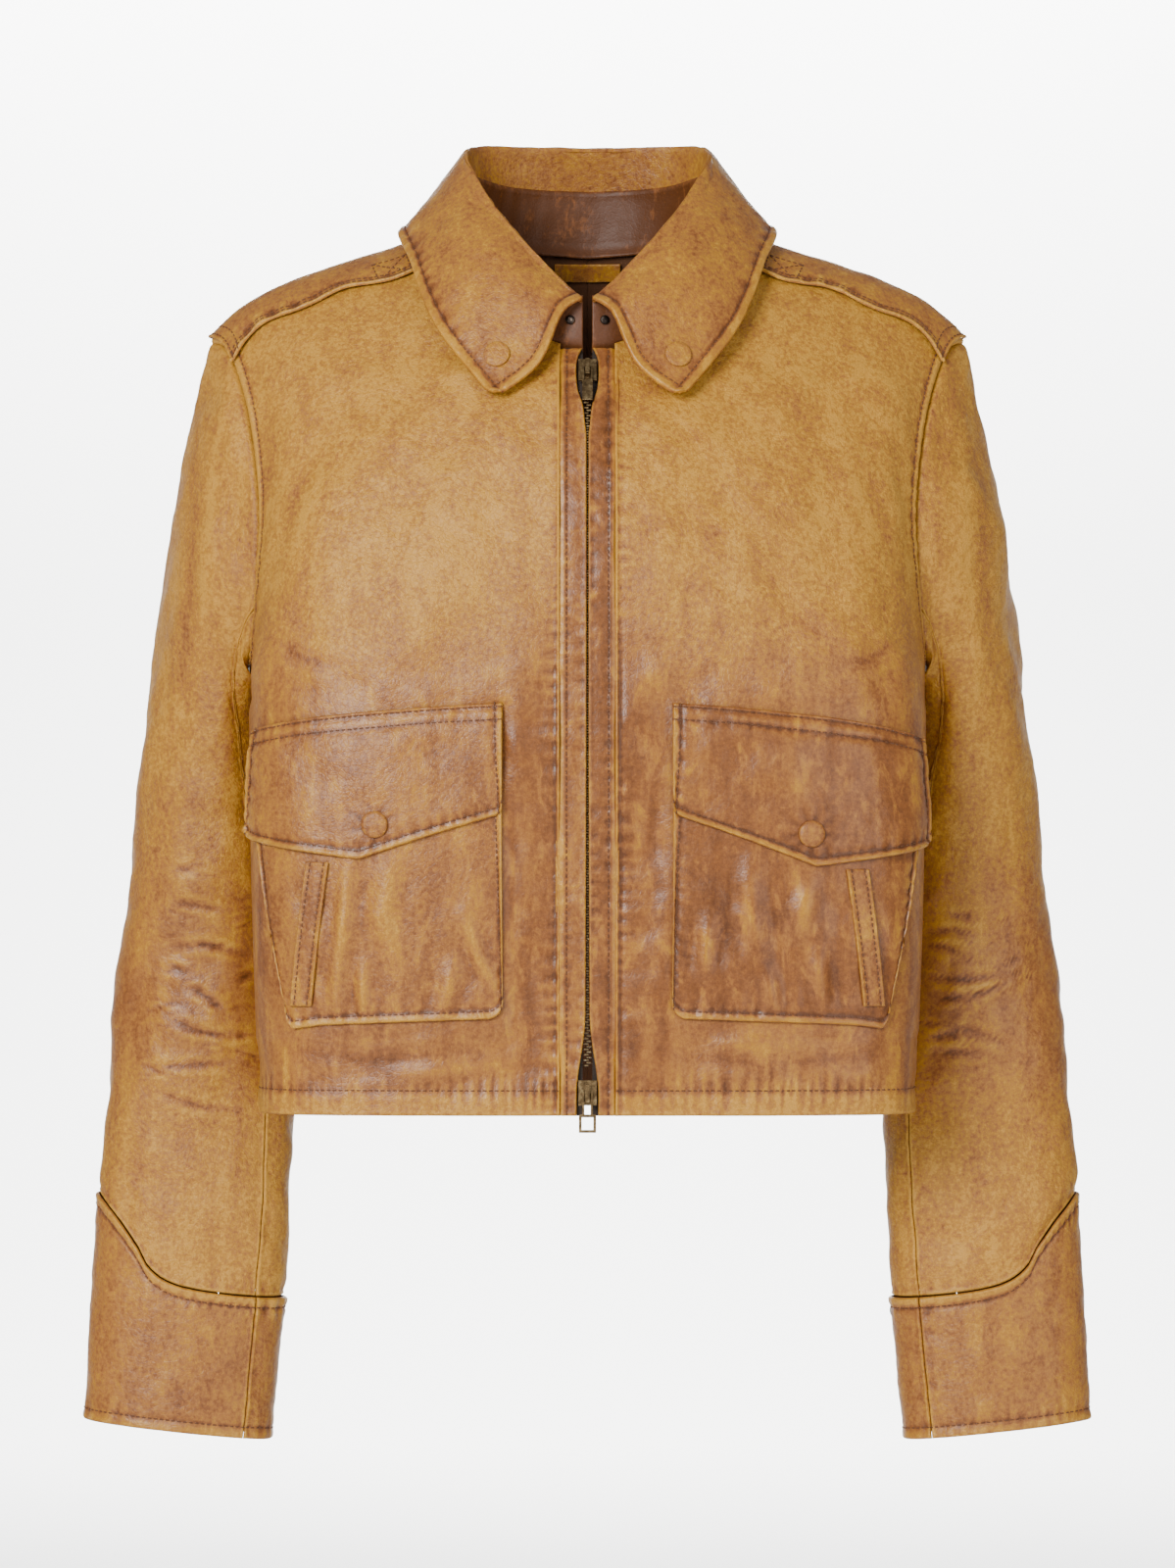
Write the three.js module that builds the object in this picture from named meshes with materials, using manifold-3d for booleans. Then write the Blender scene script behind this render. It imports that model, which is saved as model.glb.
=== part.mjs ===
// A cropped leather jacket: shirt collar on a neck band, shoulder straps, patch pockets with snap flaps,
// gauntlet cuffs and a two-way front zip. It keeps the hollow form that it has when it is worn.
// Millimetres, +Z up, front towards -Y, wearer's left at +X. The origin lies between the shoulders.
import * as THREE from "three";
import { mergeVertices } from "three/addons/utils/BufferGeometryUtils.js";
import Module from "manifold-3d";

// Leather and seams
const LEATHER = 1.6;
const TURNED_LEATHER = 2.2;
const TAPE = 0.8;
const LAYER_GAP = 0.5;
const CUFF_PROUD = 1.6;

// Body heights and edges
const HEM_Z = -500;
const UNDERARM_Z = -249;
const PANEL_EDGE_X = 15.3;
const PLACKET_EDGE_X = 15;
const SIDE_SEAM_Y = -18;
const FRONT_POWER = 4;
const BACK_POWER = 2;

// Rows and columns of the cloth grids
const LOWER_ROWS = 7;
const UPPER_ROWS = 12;
const FRONT_NECK_ROWS = 5;
const BACK_NECK_ROWS = 3;
const BACK_COLUMNS = 8;
const SLEEVE_ROWS = 10;
const CUFF_ROWS = 2;
const COLLAR_HALF_COLUMNS = 13;

// Arc lengths of the front panel's columns, from its centre edge at pocket height
const FRONT_ARCS = [0, 34.5, 60, 84, 106, 128, 146, 162, 176, 190, 206, 224, 246, 272];

// Neck
const NECK_HALF_WIDTH = 71;
const NECK_CENTRE_Y = -10;
const NECK_HALF_DEPTH = 68;
const BAND_LEAN = 1.5;
const BAND_GAP = 1.4;
const COLLAR_GAP = 0.9;
const COLLAR_LEAN = 0.8;
const NECK_GAP_ANGLE = 2.1;

// Sleeve seams, in degrees round the sleeve from its outer edge towards the front
const FRONT_SLEEVE_SEAM = 135;
const BACK_SLEEVE_SEAM = 255;
const SLEEVE_STEP = 15;
const SEAM_ANGLE = 0.2;
const SLEEVE_START = 0.003;
const CUFF_SEAM = 0.0004;
const ARMHOLE_BLEND = 0.3;
const SLEEVE_POWER = 2.2;
const ARMHOLE_INSIDE = new THREE.Vector3(150, 0, -160);

// Smooth curve through [position, value] pairs
function through(pairs) {
  const slope = (i) => {
    const a = pairs[Math.max(i - 1, 0)];
    const b = pairs[Math.min(i + 1, pairs.length - 1)];
    return (b[1] - a[1]) / (b[0] - a[0]);
  };
  return (at) => {
    let i = 0;
    while (i < pairs.length - 2 && at > pairs[i + 1][0]) i += 1;
    const [x0, y0] = pairs[i];
    const [x1, y1] = pairs[i + 1];
    const span = x1 - x0;
    const t = Math.min(Math.max((at - x0) / span, 0), 1);
    const t2 = t * t;
    const t3 = t2 * t;
    const ends = (2 * t3 - 3 * t2 + 1) * y0 + (3 * t2 - 2 * t3) * y1;
    return ends + (t3 - 2 * t2 + t) * span * slope(i) + (t3 - t2) * span * slope(i + 1);
  };
}

// Smooth path through [position, x, y, z] stations
function path(stations) {
  const axes = [1, 2, 3].map((k) => through(stations.map((s) => [s[0], s[k]])));
  return (at) => new THREE.Vector3(axes[0](at), axes[1](at), axes[2](at));
}

// Point at a fraction of a polyline's length
function along(points) {
  const reach = [0];
  for (let i = 1; i < points.length; i += 1) {
    reach.push(reach[i - 1] + points[i].distanceTo(points[i - 1]));
  }
  return (fraction) => {
    const goal = fraction * reach[reach.length - 1];
    let i = 0;
    while (i < points.length - 2 && goal > reach[i + 1]) i += 1;
    const t = (goal - reach[i]) / (reach[i + 1] - reach[i]);
    return points[i].clone().lerp(points[i + 1], t);
  };
}

const range = (count) => Array.from({ length: count + 1 }, (_, i) => i / count);
const mix = THREE.MathUtils.lerp;
const radians = THREE.MathUtils.degToRad;
const ease = (t) => t * t * (3 - 2 * t);

// Torso: half width, line of greatest width, front and back depth at each height
const halfWidth = through([[-500, 184], [-470, 186], [-380, 189], [-300, 190.5], [-249, 192]]);
const widestY = through([[-500, -50], [-400, -52], [-340, -50], [-290, -38], [-249, -18]]);
const frontY = through([
  [-500, -118], [-400, -122], [-300, -124], [-249, -123.5],
  [-200, -121], [-150, -114], [-110, -101], [-70, -78],
]);
const backY = through([
  [-500, 90], [-350, 93], [-249, 97], [-170, 99], [-100, 92], [-60, 81], [-30, 69], [-7, 58],
]);
const shoulderZ = through([[71, 0], [110, -12], [164, -29], [189, -40], [204, -51], [216, -63]]);
const zipGap = through([
  [-500, 6], [-482, 5.6], [-462, 3.2], [-440, 2], [-116, 1.5],
  [-104, 2.6], [-94, 5.6], [-78, 5.6], [-70, 2],
]);

// Armhole seam round the wearer's left arm, every 30 degrees from the shoulder tip down the front
const armholeCurve = new THREE.CatmullRomCurve3([
  new THREE.Vector3(216, 2, -63),
  new THREE.Vector3(205, -15, -70),
  new THREE.Vector3(193, -37, -106),
  new THREE.Vector3(186, -52, -155),
  new THREE.Vector3(186.5, -53, -195),
  new THREE.Vector3(190, -43, -234),
  new THREE.Vector3(192, -18, -249),
  new THREE.Vector3(191, 19, -237),
  new THREE.Vector3(187, 46, -198),
  new THREE.Vector3(187, 53, -155),
  new THREE.Vector3(195, 40, -106),
  new THREE.Vector3(206, 18, -70),
], true, "catmullrom", 0.5);
const armhole = (degrees) => armholeCurve.getPoint(((degrees % 360) + 360) % 360 / 360);

// Neck seam, by degrees from the front round the wearer's left
const neckZ = through([
  [0, -71], [20, -65], [45, -42], [70, -15], [90, 0], [110, 1], [140, -4], [180, -7],
]);
function neck(degrees) {
  const turn = radians(degrees);
  const y = NECK_CENTRE_Y - NECK_HALF_DEPTH * Math.cos(turn);
  return new THREE.Vector3(NECK_HALF_WIDTH * Math.sin(turn), y, neckZ(degrees));
}
const neckStart = THREE.MathUtils.radToDeg(Math.asin(PANEL_EDGE_X / NECK_HALF_WIDTH));

// Torso section: 0 at the front centre, half pi at the widest line, pi at the back centre
function section(angle, z) {
  const cosine = Math.cos(angle);
  const power = 2 / (cosine > 0 ? FRONT_POWER : BACK_POWER);
  const depth = cosine > 0 ? widestY(z) - frontY(z) : backY(z) - widestY(z);
  const x = halfWidth(z) * Math.sin(angle) ** power;
  return new THREE.Vector3(x, widestY(z) - Math.sign(cosine) * depth * Math.abs(cosine) ** power, z);
}
// Angle of the section where it passes a depth
function angleAt(y, z) {
  const ahead = y < widestY(z);
  const depth = ahead ? widestY(z) - frontY(z) : backY(z) - widestY(z);
  const cosine = (Math.abs(y - widestY(z)) / depth) ** ((ahead ? FRONT_POWER : BACK_POWER) / 2);
  return Math.acos(ahead ? cosine : -cosine);
}
function sectionRow(from, to, z) {
  return along(range(90).map((t) => section(mix(from, to, t), z)));
}
const frontEdge = (z) => Math.asin((PANEL_EDGE_X / halfWidth(z)) ** (FRONT_POWER / 2));
const frontRow = (z, endY = SIDE_SEAM_Y) => sectionRow(frontEdge(z), angleAt(endY, z), z);
const backRow = (z, endY = SIDE_SEAM_Y) => sectionRow(Math.PI, angleAt(endY, z), z);

// Row between the underarm section and the shoulder seam, from a start point to an end point
function upperRow(low, high, start, end, v) {
  const b = ease(v);
  return (u) => {
    const a = ease(u);
    const point = low(u).multiplyScalar(1 - b).addScaledVector(high(u), b);
    point.addScaledVector(start, 1 - a).addScaledVector(end, a);
    point.addScaledVector(low(0), -(1 - a) * (1 - b)).addScaledVector(low(1), -a * (1 - b));
    return point.addScaledVector(high(0), -(1 - a) * b).addScaledVector(high(1), -a * b);
  };
}
const shoulderSeam = along(range(60).map((t) => {
  const x = mix(NECK_HALF_WIDTH, 216, t);
  return new THREE.Vector3(x, mix(NECK_CENTRE_Y, 2, t), shoulderZ(x));
}));
const neckShareFront = 1 - FRONT_NECK_ROWS / UPPER_ROWS;
const neckShareBack = 1 - BACK_NECK_ROWS / UPPER_ROWS;
function frontCentre(v) {
  if (v < neckShareFront) {
    const z = mix(UNDERARM_Z, neckZ(neckStart), v / neckShareFront);
    return new THREE.Vector3(PANEL_EDGE_X, frontY(z), z);
  }
  return neck(mix(neckStart, 90, (v - neckShareFront) / (1 - neckShareFront)));
}
function backCentre(v) {
  if (v < neckShareBack) {
    const z = mix(UNDERARM_Z, neckZ(180), v / neckShareBack);
    return new THREE.Vector3(0, backY(z), z);
  }
  return neck(mix(180, 90, (v - neckShareBack) / (1 - neckShareBack)));
}
// The underarm section ends where the armhole has reached, down to its widest part
const ARMHOLE_WIDEST = 60;
function frontUpper(v) {
  const low = frontRow(UNDERARM_Z, armhole(180 - Math.min(180 * v, ARMHOLE_WIDEST)).y);
  return upperRow(low, shoulderSeam, frontCentre(v), armhole(180 - 180 * v), v);
}
function backUpper(v) {
  const low = backRow(UNDERARM_Z, armhole(180 + Math.min(180 * v, ARMHOLE_WIDEST)).y);
  return upperRow(low, shoulderSeam, backCentre(v), armhole(180 + 180 * v), v);
}

// Sleeve: outer and inner edge in the front view, middle depth and half depth from armhole to wrist
const sleeveOuter = path([
  [0, 216, 0, -63], [0.06, 222, 0, -89], [0.14, 230.5, 0, -130], [0.24, 241, 0, -188],
  [0.36, 250.5, 0, -255], [0.5, 260.5, 0, -338], [0.64, 269.5, 0, -420], [0.78, 277.5, 0, -506],
  [0.9, 283, 0, -590], [1, 288, 0, -680.6],
]);
const sleeveInner = path([
  [0, 192, 0, -249], [0.06, 195.5, 0, -254], [0.14, 197, 0, -266], [0.24, 195, 0, -292],
  [0.36, 187, 0, -335], [0.5, 176, 0, -395], [0.64, 170.5, 0, -458], [0.78, 170, 0, -528],
  [0.9, 175, 0, -606], [1, 183.5, 0, -692],
]);
const sleeveMiddle = through([
  [0, -1], [0.14, 8], [0.24, 18], [0.36, 28], [0.5, 33], [0.64, 33], [1, 27],
]);
const sleeveDepth = through([
  [0, 53], [0.14, 50], [0.24, 47], [0.36, 44], [0.5, 41], [0.64, 37], [0.78, 32], [1, 27],
]);
const rounded = (value) => Math.sign(value) * Math.abs(value) ** (2 / SLEEVE_POWER);
function sleeveRing(degrees, t) {
  const across = rounded(Math.cos(radians(degrees)));
  const outer = sleeveOuter(t);
  const inner = sleeveInner(t);
  const point = inner.clone().add(outer).multiplyScalar(0.5);
  point.addScaledVector(outer.sub(inner), across / 2);
  point.y = sleeveMiddle(t) - sleeveDepth(t) * rounded(Math.sin(radians(degrees)));
  return point;
}
function sleeve(degrees, t) {
  const left = Math.max(0, 1 - t / ARMHOLE_BLEND) ** 2;
  const seat = armhole(degrees).sub(sleeveRing(degrees, 0));
  return sleeveRing(degrees, t).addScaledVector(seat, left);
}
// Height of the cuff's top seam round the sleeve
const cuffTopZ = through([
  [0, -550], [20, -554], [43, -565.6], [60, -581], [67, -591], [80, -600], [99, -605.6], [141, -609.6],
  [180, -610], [225, -609], [255, -600], [300, -570], [340, -552], [360, -550],
]);
function cuffStart(degrees) {
  let low = 0.6;
  let high = 1;
  for (let i = 0; i < 30; i += 1) {
    const middle = (low + high) / 2;
    if (sleeve(degrees, middle).z > cuffTopZ(((degrees % 360) + 360) % 360)) low = middle;
    else high = middle;
  }
  return low;
}

// Unit normals of a grid of points, turned to the given outside
function gridNormals(grid, outside) {
  const last = grid.length - 1;
  const end = grid[0].length - 1;
  const normals = grid.map((row, r) => row.map((_, c) => {
    const down = grid[Math.min(r + 1, last)][c].clone().sub(grid[Math.max(r - 1, 0)][c]);
    const side = grid[r][Math.min(c + 1, end)].clone().sub(grid[r][Math.max(c - 1, 0)]);
    return side.cross(down).normalize();
  }));
  const middle = normals[last >> 1][end >> 1];
  if (middle.dot(outside) < 0) normals.flat().forEach((n) => n.negate());
  return normals;
}
const lifted = (grid, normals, by) => grid.map((row, r) => row.map((p, c) => {
  return p.clone().addScaledVector(normals[r][c], typeof by === "number" ? by : by(r, c));
}));

// Closed wall between a face grid and a back grid of the same size
function wall(face, back) {
  const rows = face.length;
  const columns = face[0].length;
  const points = [...face.flat(), ...back.flat()];
  const half = rows * columns;
  const at = (r, c) => r * columns + c;
  const triangles = [];
  const quad = (a, b, c, d) => triangles.push([a, b, c], [a, c, d]);
  for (let r = 0; r + 1 < rows; r += 1) {
    for (let c = 0; c + 1 < columns; c += 1) {
      quad(at(r, c), at(r, c + 1), at(r + 1, c + 1), at(r + 1, c));
      quad(half + at(r, c), half + at(r + 1, c), half + at(r + 1, c + 1), half + at(r, c + 1));
    }
    quad(at(r, 0), at(r + 1, 0), half + at(r + 1, 0), half + at(r, 0));
    const end = columns - 1;
    quad(at(r, end), half + at(r, end), half + at(r + 1, end), at(r + 1, end));
  }
  for (let c = 0; c + 1 < columns; c += 1) {
    quad(at(0, c), half + at(0, c), half + at(0, c + 1), at(0, c + 1));
    quad(at(rows - 1, c), at(rows - 1, c + 1), half + at(rows - 1, c + 1), half + at(rows - 1, c));
  }
  const volume = triangles.reduce((sum, [a, b, c]) => {
    return sum + points[a].dot(points[b].clone().cross(points[c]));
  }, 0);
  const order = volume < 0 ? triangles.map(([a, b, c]) => [a, c, b]) : triangles;
  const geometry = new THREE.BufferGeometry();
  geometry.setAttribute("position", new THREE.Float32BufferAttribute(points.flatMap((p) => p.toArray()), 3));
  geometry.setIndex(order.flat());
  return geometry;
}
const mirrored = (grid, sign) => grid.map((row) => row.map((p) => new THREE.Vector3(sign * p.x, p.y, p.z)));

const group = new THREE.Group();
const colours = {
  gold: [0xb9853f, 0.5, 0], tan: [0xa97540, 0.5, 0], brown: [0x93603a, 0.45, 0], dark: [0x5a3a28, 0.7, 0],
  tape: [0x3c2a1e, 0.9, 0], brass: [0x6e5d3c, 0.4, 0.9], iron: [0x3a3430, 0.45, 0.9],
};
function add(name, geometry, colour) {
  const [color, roughness, metalness] = colours[colour];
  const mesh = new THREE.Mesh(geometry, new THREE.MeshStandardMaterial({ color, roughness, metalness }));
  mesh.name = name;
  group.add(mesh);
  return mesh;
}
const sides = [{ side: "right", sign: -1 }, { side: "left", sign: 1 }];

// Solids that are joined into one
const wasm = await Module();
wasm.setup();
function solid(geometry) {
  geometry.deleteAttribute("normal");
  geometry.deleteAttribute("uv");
  const merged = mergeVertices(geometry);
  const vertProperties = new Float32Array(merged.attributes.position.array);
  const triVerts = new Uint32Array(merged.index.array);
  return new wasm.Manifold(new wasm.Mesh({ numProp: 3, vertProperties, triVerts }));
}
function geometryOf(manifold) {
  const mesh = manifold.getMesh();
  const geometry = new THREE.BufferGeometry();
  geometry.setAttribute("position", new THREE.Float32BufferAttribute(mesh.vertProperties, 3));
  geometry.setIndex(Array.from(mesh.triVerts));
  return geometry;
}
const joined = (pieces) => geometryOf(pieces.reduce((whole, piece) => whole.add(piece)));

// Front and back panels
const SIDE_TRIM = 1 - 0.0013;
const SHOULDER_TRIM = 1 - 0.0015;
const SHOULDER_UP = new THREE.Vector3(1, 0, 4).normalize();
const FRONT_OUT = new THREE.Vector3(0.3, -1, 0);
const BACK_OUT = new THREE.Vector3(0.3, 1, 0);
const frontShares = FRONT_ARCS.map((arc) => arc / FRONT_ARCS[FRONT_ARCS.length - 1] * SIDE_TRIM);
const backShares = range(BACK_COLUMNS).map((t) => t * SIDE_TRIM);
function panelGrid(shares, lowerRow, upper) {
  const rows = [];
  for (let r = 0; r <= LOWER_ROWS; r += 1) {
    const row = lowerRow(mix(HEM_Z, UNDERARM_Z, r / LOWER_ROWS));
    rows.push(shares.map((u) => row(u)));
  }
  for (let r = 1; r <= UPPER_ROWS; r += 1) {
    const row = upper(Math.min(r / UPPER_ROWS, SHOULDER_TRIM));
    rows.push(shares.map((u) => row(u)));
  }
  return rows;
}
// At the armhole and the shoulder seam both neighbours share the direction of the wall
function seatRims(grid, normals) {
  const end = grid[0].length - 1;
  for (let r = LOWER_ROWS; r < grid.length; r += 1) {
    normals[r][end] = grid[r][end].clone().sub(ARMHOLE_INSIDE).normalize();
  }
  normals[grid.length - 1].slice(0, end).forEach((n) => n.copy(SHOULDER_UP));
}
const frontGrid = panelGrid(frontShares, frontRow, frontUpper);
const frontNormals = gridNormals(frontGrid, FRONT_OUT);
seatRims(frontGrid, frontNormals);
const frontInner = lifted(frontGrid, frontNormals, -LEATHER);
const backHalf = panelGrid(backShares, backRow, backUpper);
const backHalfNormals = gridNormals(backHalf, BACK_OUT);
backHalfNormals.forEach((row) => row[0].setX(0).normalize());
seatRims(backHalf, backHalfNormals);
const backHalfInner = lifted(backHalf, backHalfNormals, -LEATHER);
for (const { side, sign } of sides) {
  add(`front_${side}`, wall(mirrored(frontGrid, sign), mirrored(frontInner, sign)), "gold");
}
const backHalves = sides.map(({ sign }) => wall(mirrored(backHalf, sign), mirrored(backHalfInner, sign)));
add("back", joined(backHalves.map(solid)), "gold");

// Point and normal on the faceted front panel at a column and a height
function onFront(column, z) {
  const row = (z - HEM_Z) / (UNDERARM_Z - HEM_Z) * LOWER_ROWS;
  const r = Math.min(Math.floor(row), LOWER_ROWS - 1);
  const c = Math.min(Math.floor(column), FRONT_ARCS.length - 2);
  const blend = (grid) => {
    const low = grid[r][c].clone().lerp(grid[r][c + 1], column - c);
    const high = grid[r + 1][c].clone().lerp(grid[r + 1][c + 1], column - c);
    return low.lerp(high, row - r);
  };
  return { point: blend(frontGrid), normal: blend(frontNormals).normalize() };
}
// Column of the front panel at a distance from the front centre, seen from the front
function columnAt(x, z) {
  let column = 0;
  while (column < FRONT_ARCS.length - 1 && onFront(column, z).point.x < x) column += 0.01;
  return column;
}
// Layer on the front panel: columns and heights, its lift and its wall
function frontLayer(columnsAt, heights, lift, thickness, sign) {
  const spots = heights.map((height, r) => columnsAt(r).map((column, c) => onFront(column, height(c))));
  const raise = (by) => spots.map((row, r) => row.map(({ point, normal }, c) => {
    return point.clone().addScaledVector(normal, lift(r, c) + by);
  }));
  const face = mirrored(raise(thickness), sign);
  return { face, geometry: wall(face, mirrored(raise(0), sign)) };
}

// Pockets: bag, flap, slanted welt and snap
const POCKET_COLUMNS = [1, 2, 3, 4, 5, 6, 7, 8, 9, 9.5];
const POCKET_LAST = POCKET_COLUMNS.length - 1;
const POINT_COLUMN = 3.6;
const FLAP_INNER_TOP = -271;
const FLAP_INNER_BOTTOM = -332.5;
const BAG_BELOW_FLAP_TOP = 14;
const BAG_BOTTOM_INNER = -446;
const BAG_BOTTOM_OUTER = -453;
const BAG_BULGE = 3;
const BAG_TAPER = 2.1;
const BAG_SQUARE_COLUMN = 6;
const BAG_GAP = 0.9;
const BAG_EDGE_SHARE = -0.02;
const FLAP_BOW = 1.2;
const WELT_HALF_WIDTH = 6.8;
const WELT_TOP_X = 148;
const WELT_BOTTOM_X = 157.5;
const WELT_BOTTOM_Z = -439;
const WELT_COLUMN = 6;
const WELT_BELOW_FLAP = 1.5;
const pocketSides = {
  right: { drop: 15.3, outerDepth: 58.7, point: -357.5, snap: [116.5, -339] },
  left: { drop: 20.3, outerDepth: 58.2, point: -361.5, snap: [122.5, -342.5] },
};
const bagRows = range(5);
const flapRows = range(5);
// Domed snap cap on a seat, its outline as shares of its radius and height
const SNAP_OUTLINE = [[0, 0], [1, 0], [1, 0.45], [0.78, 0.85], [0, 1]];
const SNAP_STEPS = 16;
const FLAP_SNAP = { radius: 7.4, height: 2.4 };
function snapOn(name, seat, sign, { radius, height }, colour) {
  const outline = SNAP_OUTLINE.map(([r, h]) => new THREE.Vector2(r * radius, h * height));
  const mesh = add(name, new THREE.LatheGeometry(outline, SNAP_STEPS), colour);
  const flip = new THREE.Vector3(sign, 1, 1);
  mesh.position.copy(seat.point).multiply(flip);
  mesh.quaternion.setFromUnitVectors(new THREE.Vector3(0, 1, 0), seat.normal.clone().multiply(flip));
}
for (const { side, sign } of sides) {
  const { drop, outerDepth, point, snap } = pocketSides[side];
  const share = (c) => c / POCKET_LAST;
  const flapTop = (c) => FLAP_INNER_TOP - drop * share(c) ** FLAP_BOW;
  const flapBottom = (c) => {
    const outer = flapTop(POCKET_LAST) - outerDepth;
    if (c < POINT_COLUMN) return mix(FLAP_INNER_BOTTOM, point, c / POINT_COLUMN);
    return mix(point, outer, (c - POINT_COLUMN) / (POCKET_LAST - POINT_COLUMN));
  };
  const bagTop = (c) => flapTop(c) - BAG_BELOW_FLAP_TOP;
  const bagBottom = (c) => mix(BAG_BOTTOM_INNER, BAG_BOTTOM_OUTER, share(c));
  const bulge = (t, c) => BAG_BULGE * Math.sin(Math.PI * Math.min(1, t)) * Math.sin(Math.PI * share(c));
  const bagColumns = (r) => POCKET_COLUMNS.map((column) => {
    const edge = POCKET_COLUMNS[POCKET_LAST] - BAG_SQUARE_COLUMN;
    const past = Math.max(0, column - BAG_SQUARE_COLUMN);
    return column - past * BAG_TAPER * bagRows[r] / edge;
  });
  const bag = frontLayer(
    bagColumns,
    bagRows.map((t) => (c) => mix(bagTop(c), bagBottom(c), t)),
    (r, c) => BAG_GAP + bulge(bagRows[r], c),
    LEATHER,
    sign,
  );
  add(`pocket_${side}`, bag.geometry, "brown");
  const bagShare = (z, c) => (bagTop(c) - z) / (bagTop(c) - bagBottom(c));
  const overBag = (z, c) => {
    const t = bagShare(z, c);
    return t < BAG_EDGE_SHARE ? LAYER_GAP : BAG_GAP + LAYER_GAP + LEATHER + bulge(Math.max(t, 0), c);
  };
  const flapHeights = flapRows.map((t) => (c) => mix(flapTop(c), flapBottom(c), t));
  const flap = frontLayer(
    () => POCKET_COLUMNS,
    flapHeights,
    (r, c) => overBag(flapHeights[r](c), c),
    TURNED_LEATHER,
    sign,
  );
  add(`flap_${side}`, flap.geometry, "brown");
  const weltRows = range(4);
  const weltTop = flapBottom(POINT_COLUMN) - WELT_BELOW_FLAP;
  const weltZ = (r) => mix(weltTop, WELT_BOTTOM_Z, weltRows[r]);
  const weltColumns = (r) => {
    const x = mix(WELT_TOP_X, WELT_BOTTOM_X, weltRows[r]);
    return [-1, 0, 1].map((k) => columnAt(x + k * WELT_HALF_WIDTH, weltZ(r)));
  };
  const welt = frontLayer(
    weltColumns,
    weltRows.map((_, r) => () => weltZ(r)),
    (r) => BAG_GAP + 2 * LAYER_GAP + LEATHER + bulge(bagShare(weltZ(r), WELT_COLUMN), WELT_COLUMN),
    LEATHER,
    sign,
  );
  add(`welt_${side}`, welt.geometry, "brown");
  const spot = onFront(columnAt(snap[0], snap[1]), snap[1]);
  spot.point.addScaledVector(spot.normal, overBag(snap[1], POINT_COLUMN) + TURNED_LEATHER + LAYER_GAP);
  snapOn(`flap_snap_${side}`, spot, sign, FLAP_SNAP, "brown");
}

// Point and unit normal on a surface of two values, turned to the given outside
const NORMAL_STEP = 0.005;
function frameOn(surface, a, b, outside) {
  const point = surface(a, b);
  const first = surface(a + NORMAL_STEP, b).sub(surface(a - NORMAL_STEP, b));
  const second = surface(a, b + NORMAL_STEP).sub(surface(a, b - NORMAL_STEP));
  const normal = first.cross(second).normalize();
  if (normal.dot(outside) < 0) normal.negate();
  return { point, normal };
}

// Sleeves and gauntlet cuffs, each cut as a top and an under piece
const sleeveSurface = (turn, t) => sleeve(turn * 360, t);
function sleeveGrid(from, to, rows, startAt, endAt) {
  const steps = Math.round((to - from) / SLEEVE_STEP);
  const angles = range(steps).map((t) => mix(from + SEAM_ANGLE, to - SEAM_ANGLE, t));
  const spots = range(rows).map((t) => angles.map((a) => {
    const share = mix(startAt(a), endAt(a), t);
    const axis = sleeve(a, share).add(sleeve(a + 180, share)).multiplyScalar(0.5);
    return frameOn(sleeveSurface, a / 360, share, sleeve(a, share).sub(axis));
  }));
  const grid = spots.map((row) => row.map((s) => s.point));
  const normals = spots.map((row) => row.map((s) => s.normal));
  return { grid, normals };
}
function sleevePiece(from, to) {
  const main = sleeveGrid(from, to, SLEEVE_ROWS, () => SLEEVE_START, (a) => cuffStart(a) - CUFF_SEAM);
  main.normals[0] = main.grid[0].map((p) => p.clone().sub(ARMHOLE_INSIDE).normalize());
  const cuff = sleeveGrid(from, to, CUFF_ROWS, (a) => cuffStart(a) + CUFF_SEAM, () => 1);
  return { main, cuff };
}
const sleevePieces = {
  top: sleevePiece(BACK_SLEEVE_SEAM - 360, FRONT_SLEEVE_SEAM),
  under: sleevePiece(FRONT_SLEEVE_SEAM, BACK_SLEEVE_SEAM),
};
for (const { side, sign } of sides) {
  for (const [part, { main, cuff }] of Object.entries(sleevePieces)) {
    const lining = lifted(main.grid, main.normals, -LEATHER);
    add(`sleeve_${part}_${side}`, wall(mirrored(main.grid, sign), mirrored(lining, sign)), "gold");
    const proud = lifted(cuff.grid, cuff.normals, CUFF_PROUD);
    const under = lifted(cuff.grid, cuff.normals, CUFF_PROUD - TURNED_LEATHER);
    add(`cuff_${part}_${side}`, wall(mirrored(proud, sign), mirrored(under, sign)), "brown");
  }
}

// Neck band and collar, by share from the front end to the back centre
const neckTurn = through([
  [0, NECK_GAP_ANGLE], [0.15, 17], [0.27, 32], [0.38, 52],
  [0.5, 86], [0.7, 122], [0.85, 152], [1, 180],
]);
const bandHeight = through([[0, 24], [0.5, 26], [1, 29]]);
function bandPoint(s, rise, lean = BAND_LEAN * rise) {
  const low = neck(neckTurn(s));
  const inward = new THREE.Vector3(-low.x, NECK_CENTRE_Y - low.y, 0).normalize();
  low.z += BAND_GAP + bandHeight(s) * rise;
  return low.addScaledVector(inward, lean);
}
const rollLine = path([
  [0, 2.6, -82, -44], [0.15, 20, -68, -27], [0.27, 37, -57, -8], [0.38, 54, -38, 14],
  [0.5, 68.5, -8, 41], [0.7, 62, 27, 51], [0.85, 35, 44, 52], [1, 0, 48, 52],
]);
const leafEdge = path([
  [0, 52.5, -103, -101.5], [0.15, 81, -80, -66], [0.27, 93, -62, -43], [0.38, 101, -40, -20],
  [0.5, 108, -8, -2], [0.7, 92, 46, 0], [0.85, 50, 63, -7], [1, 0, 71, -10],
]);
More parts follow.
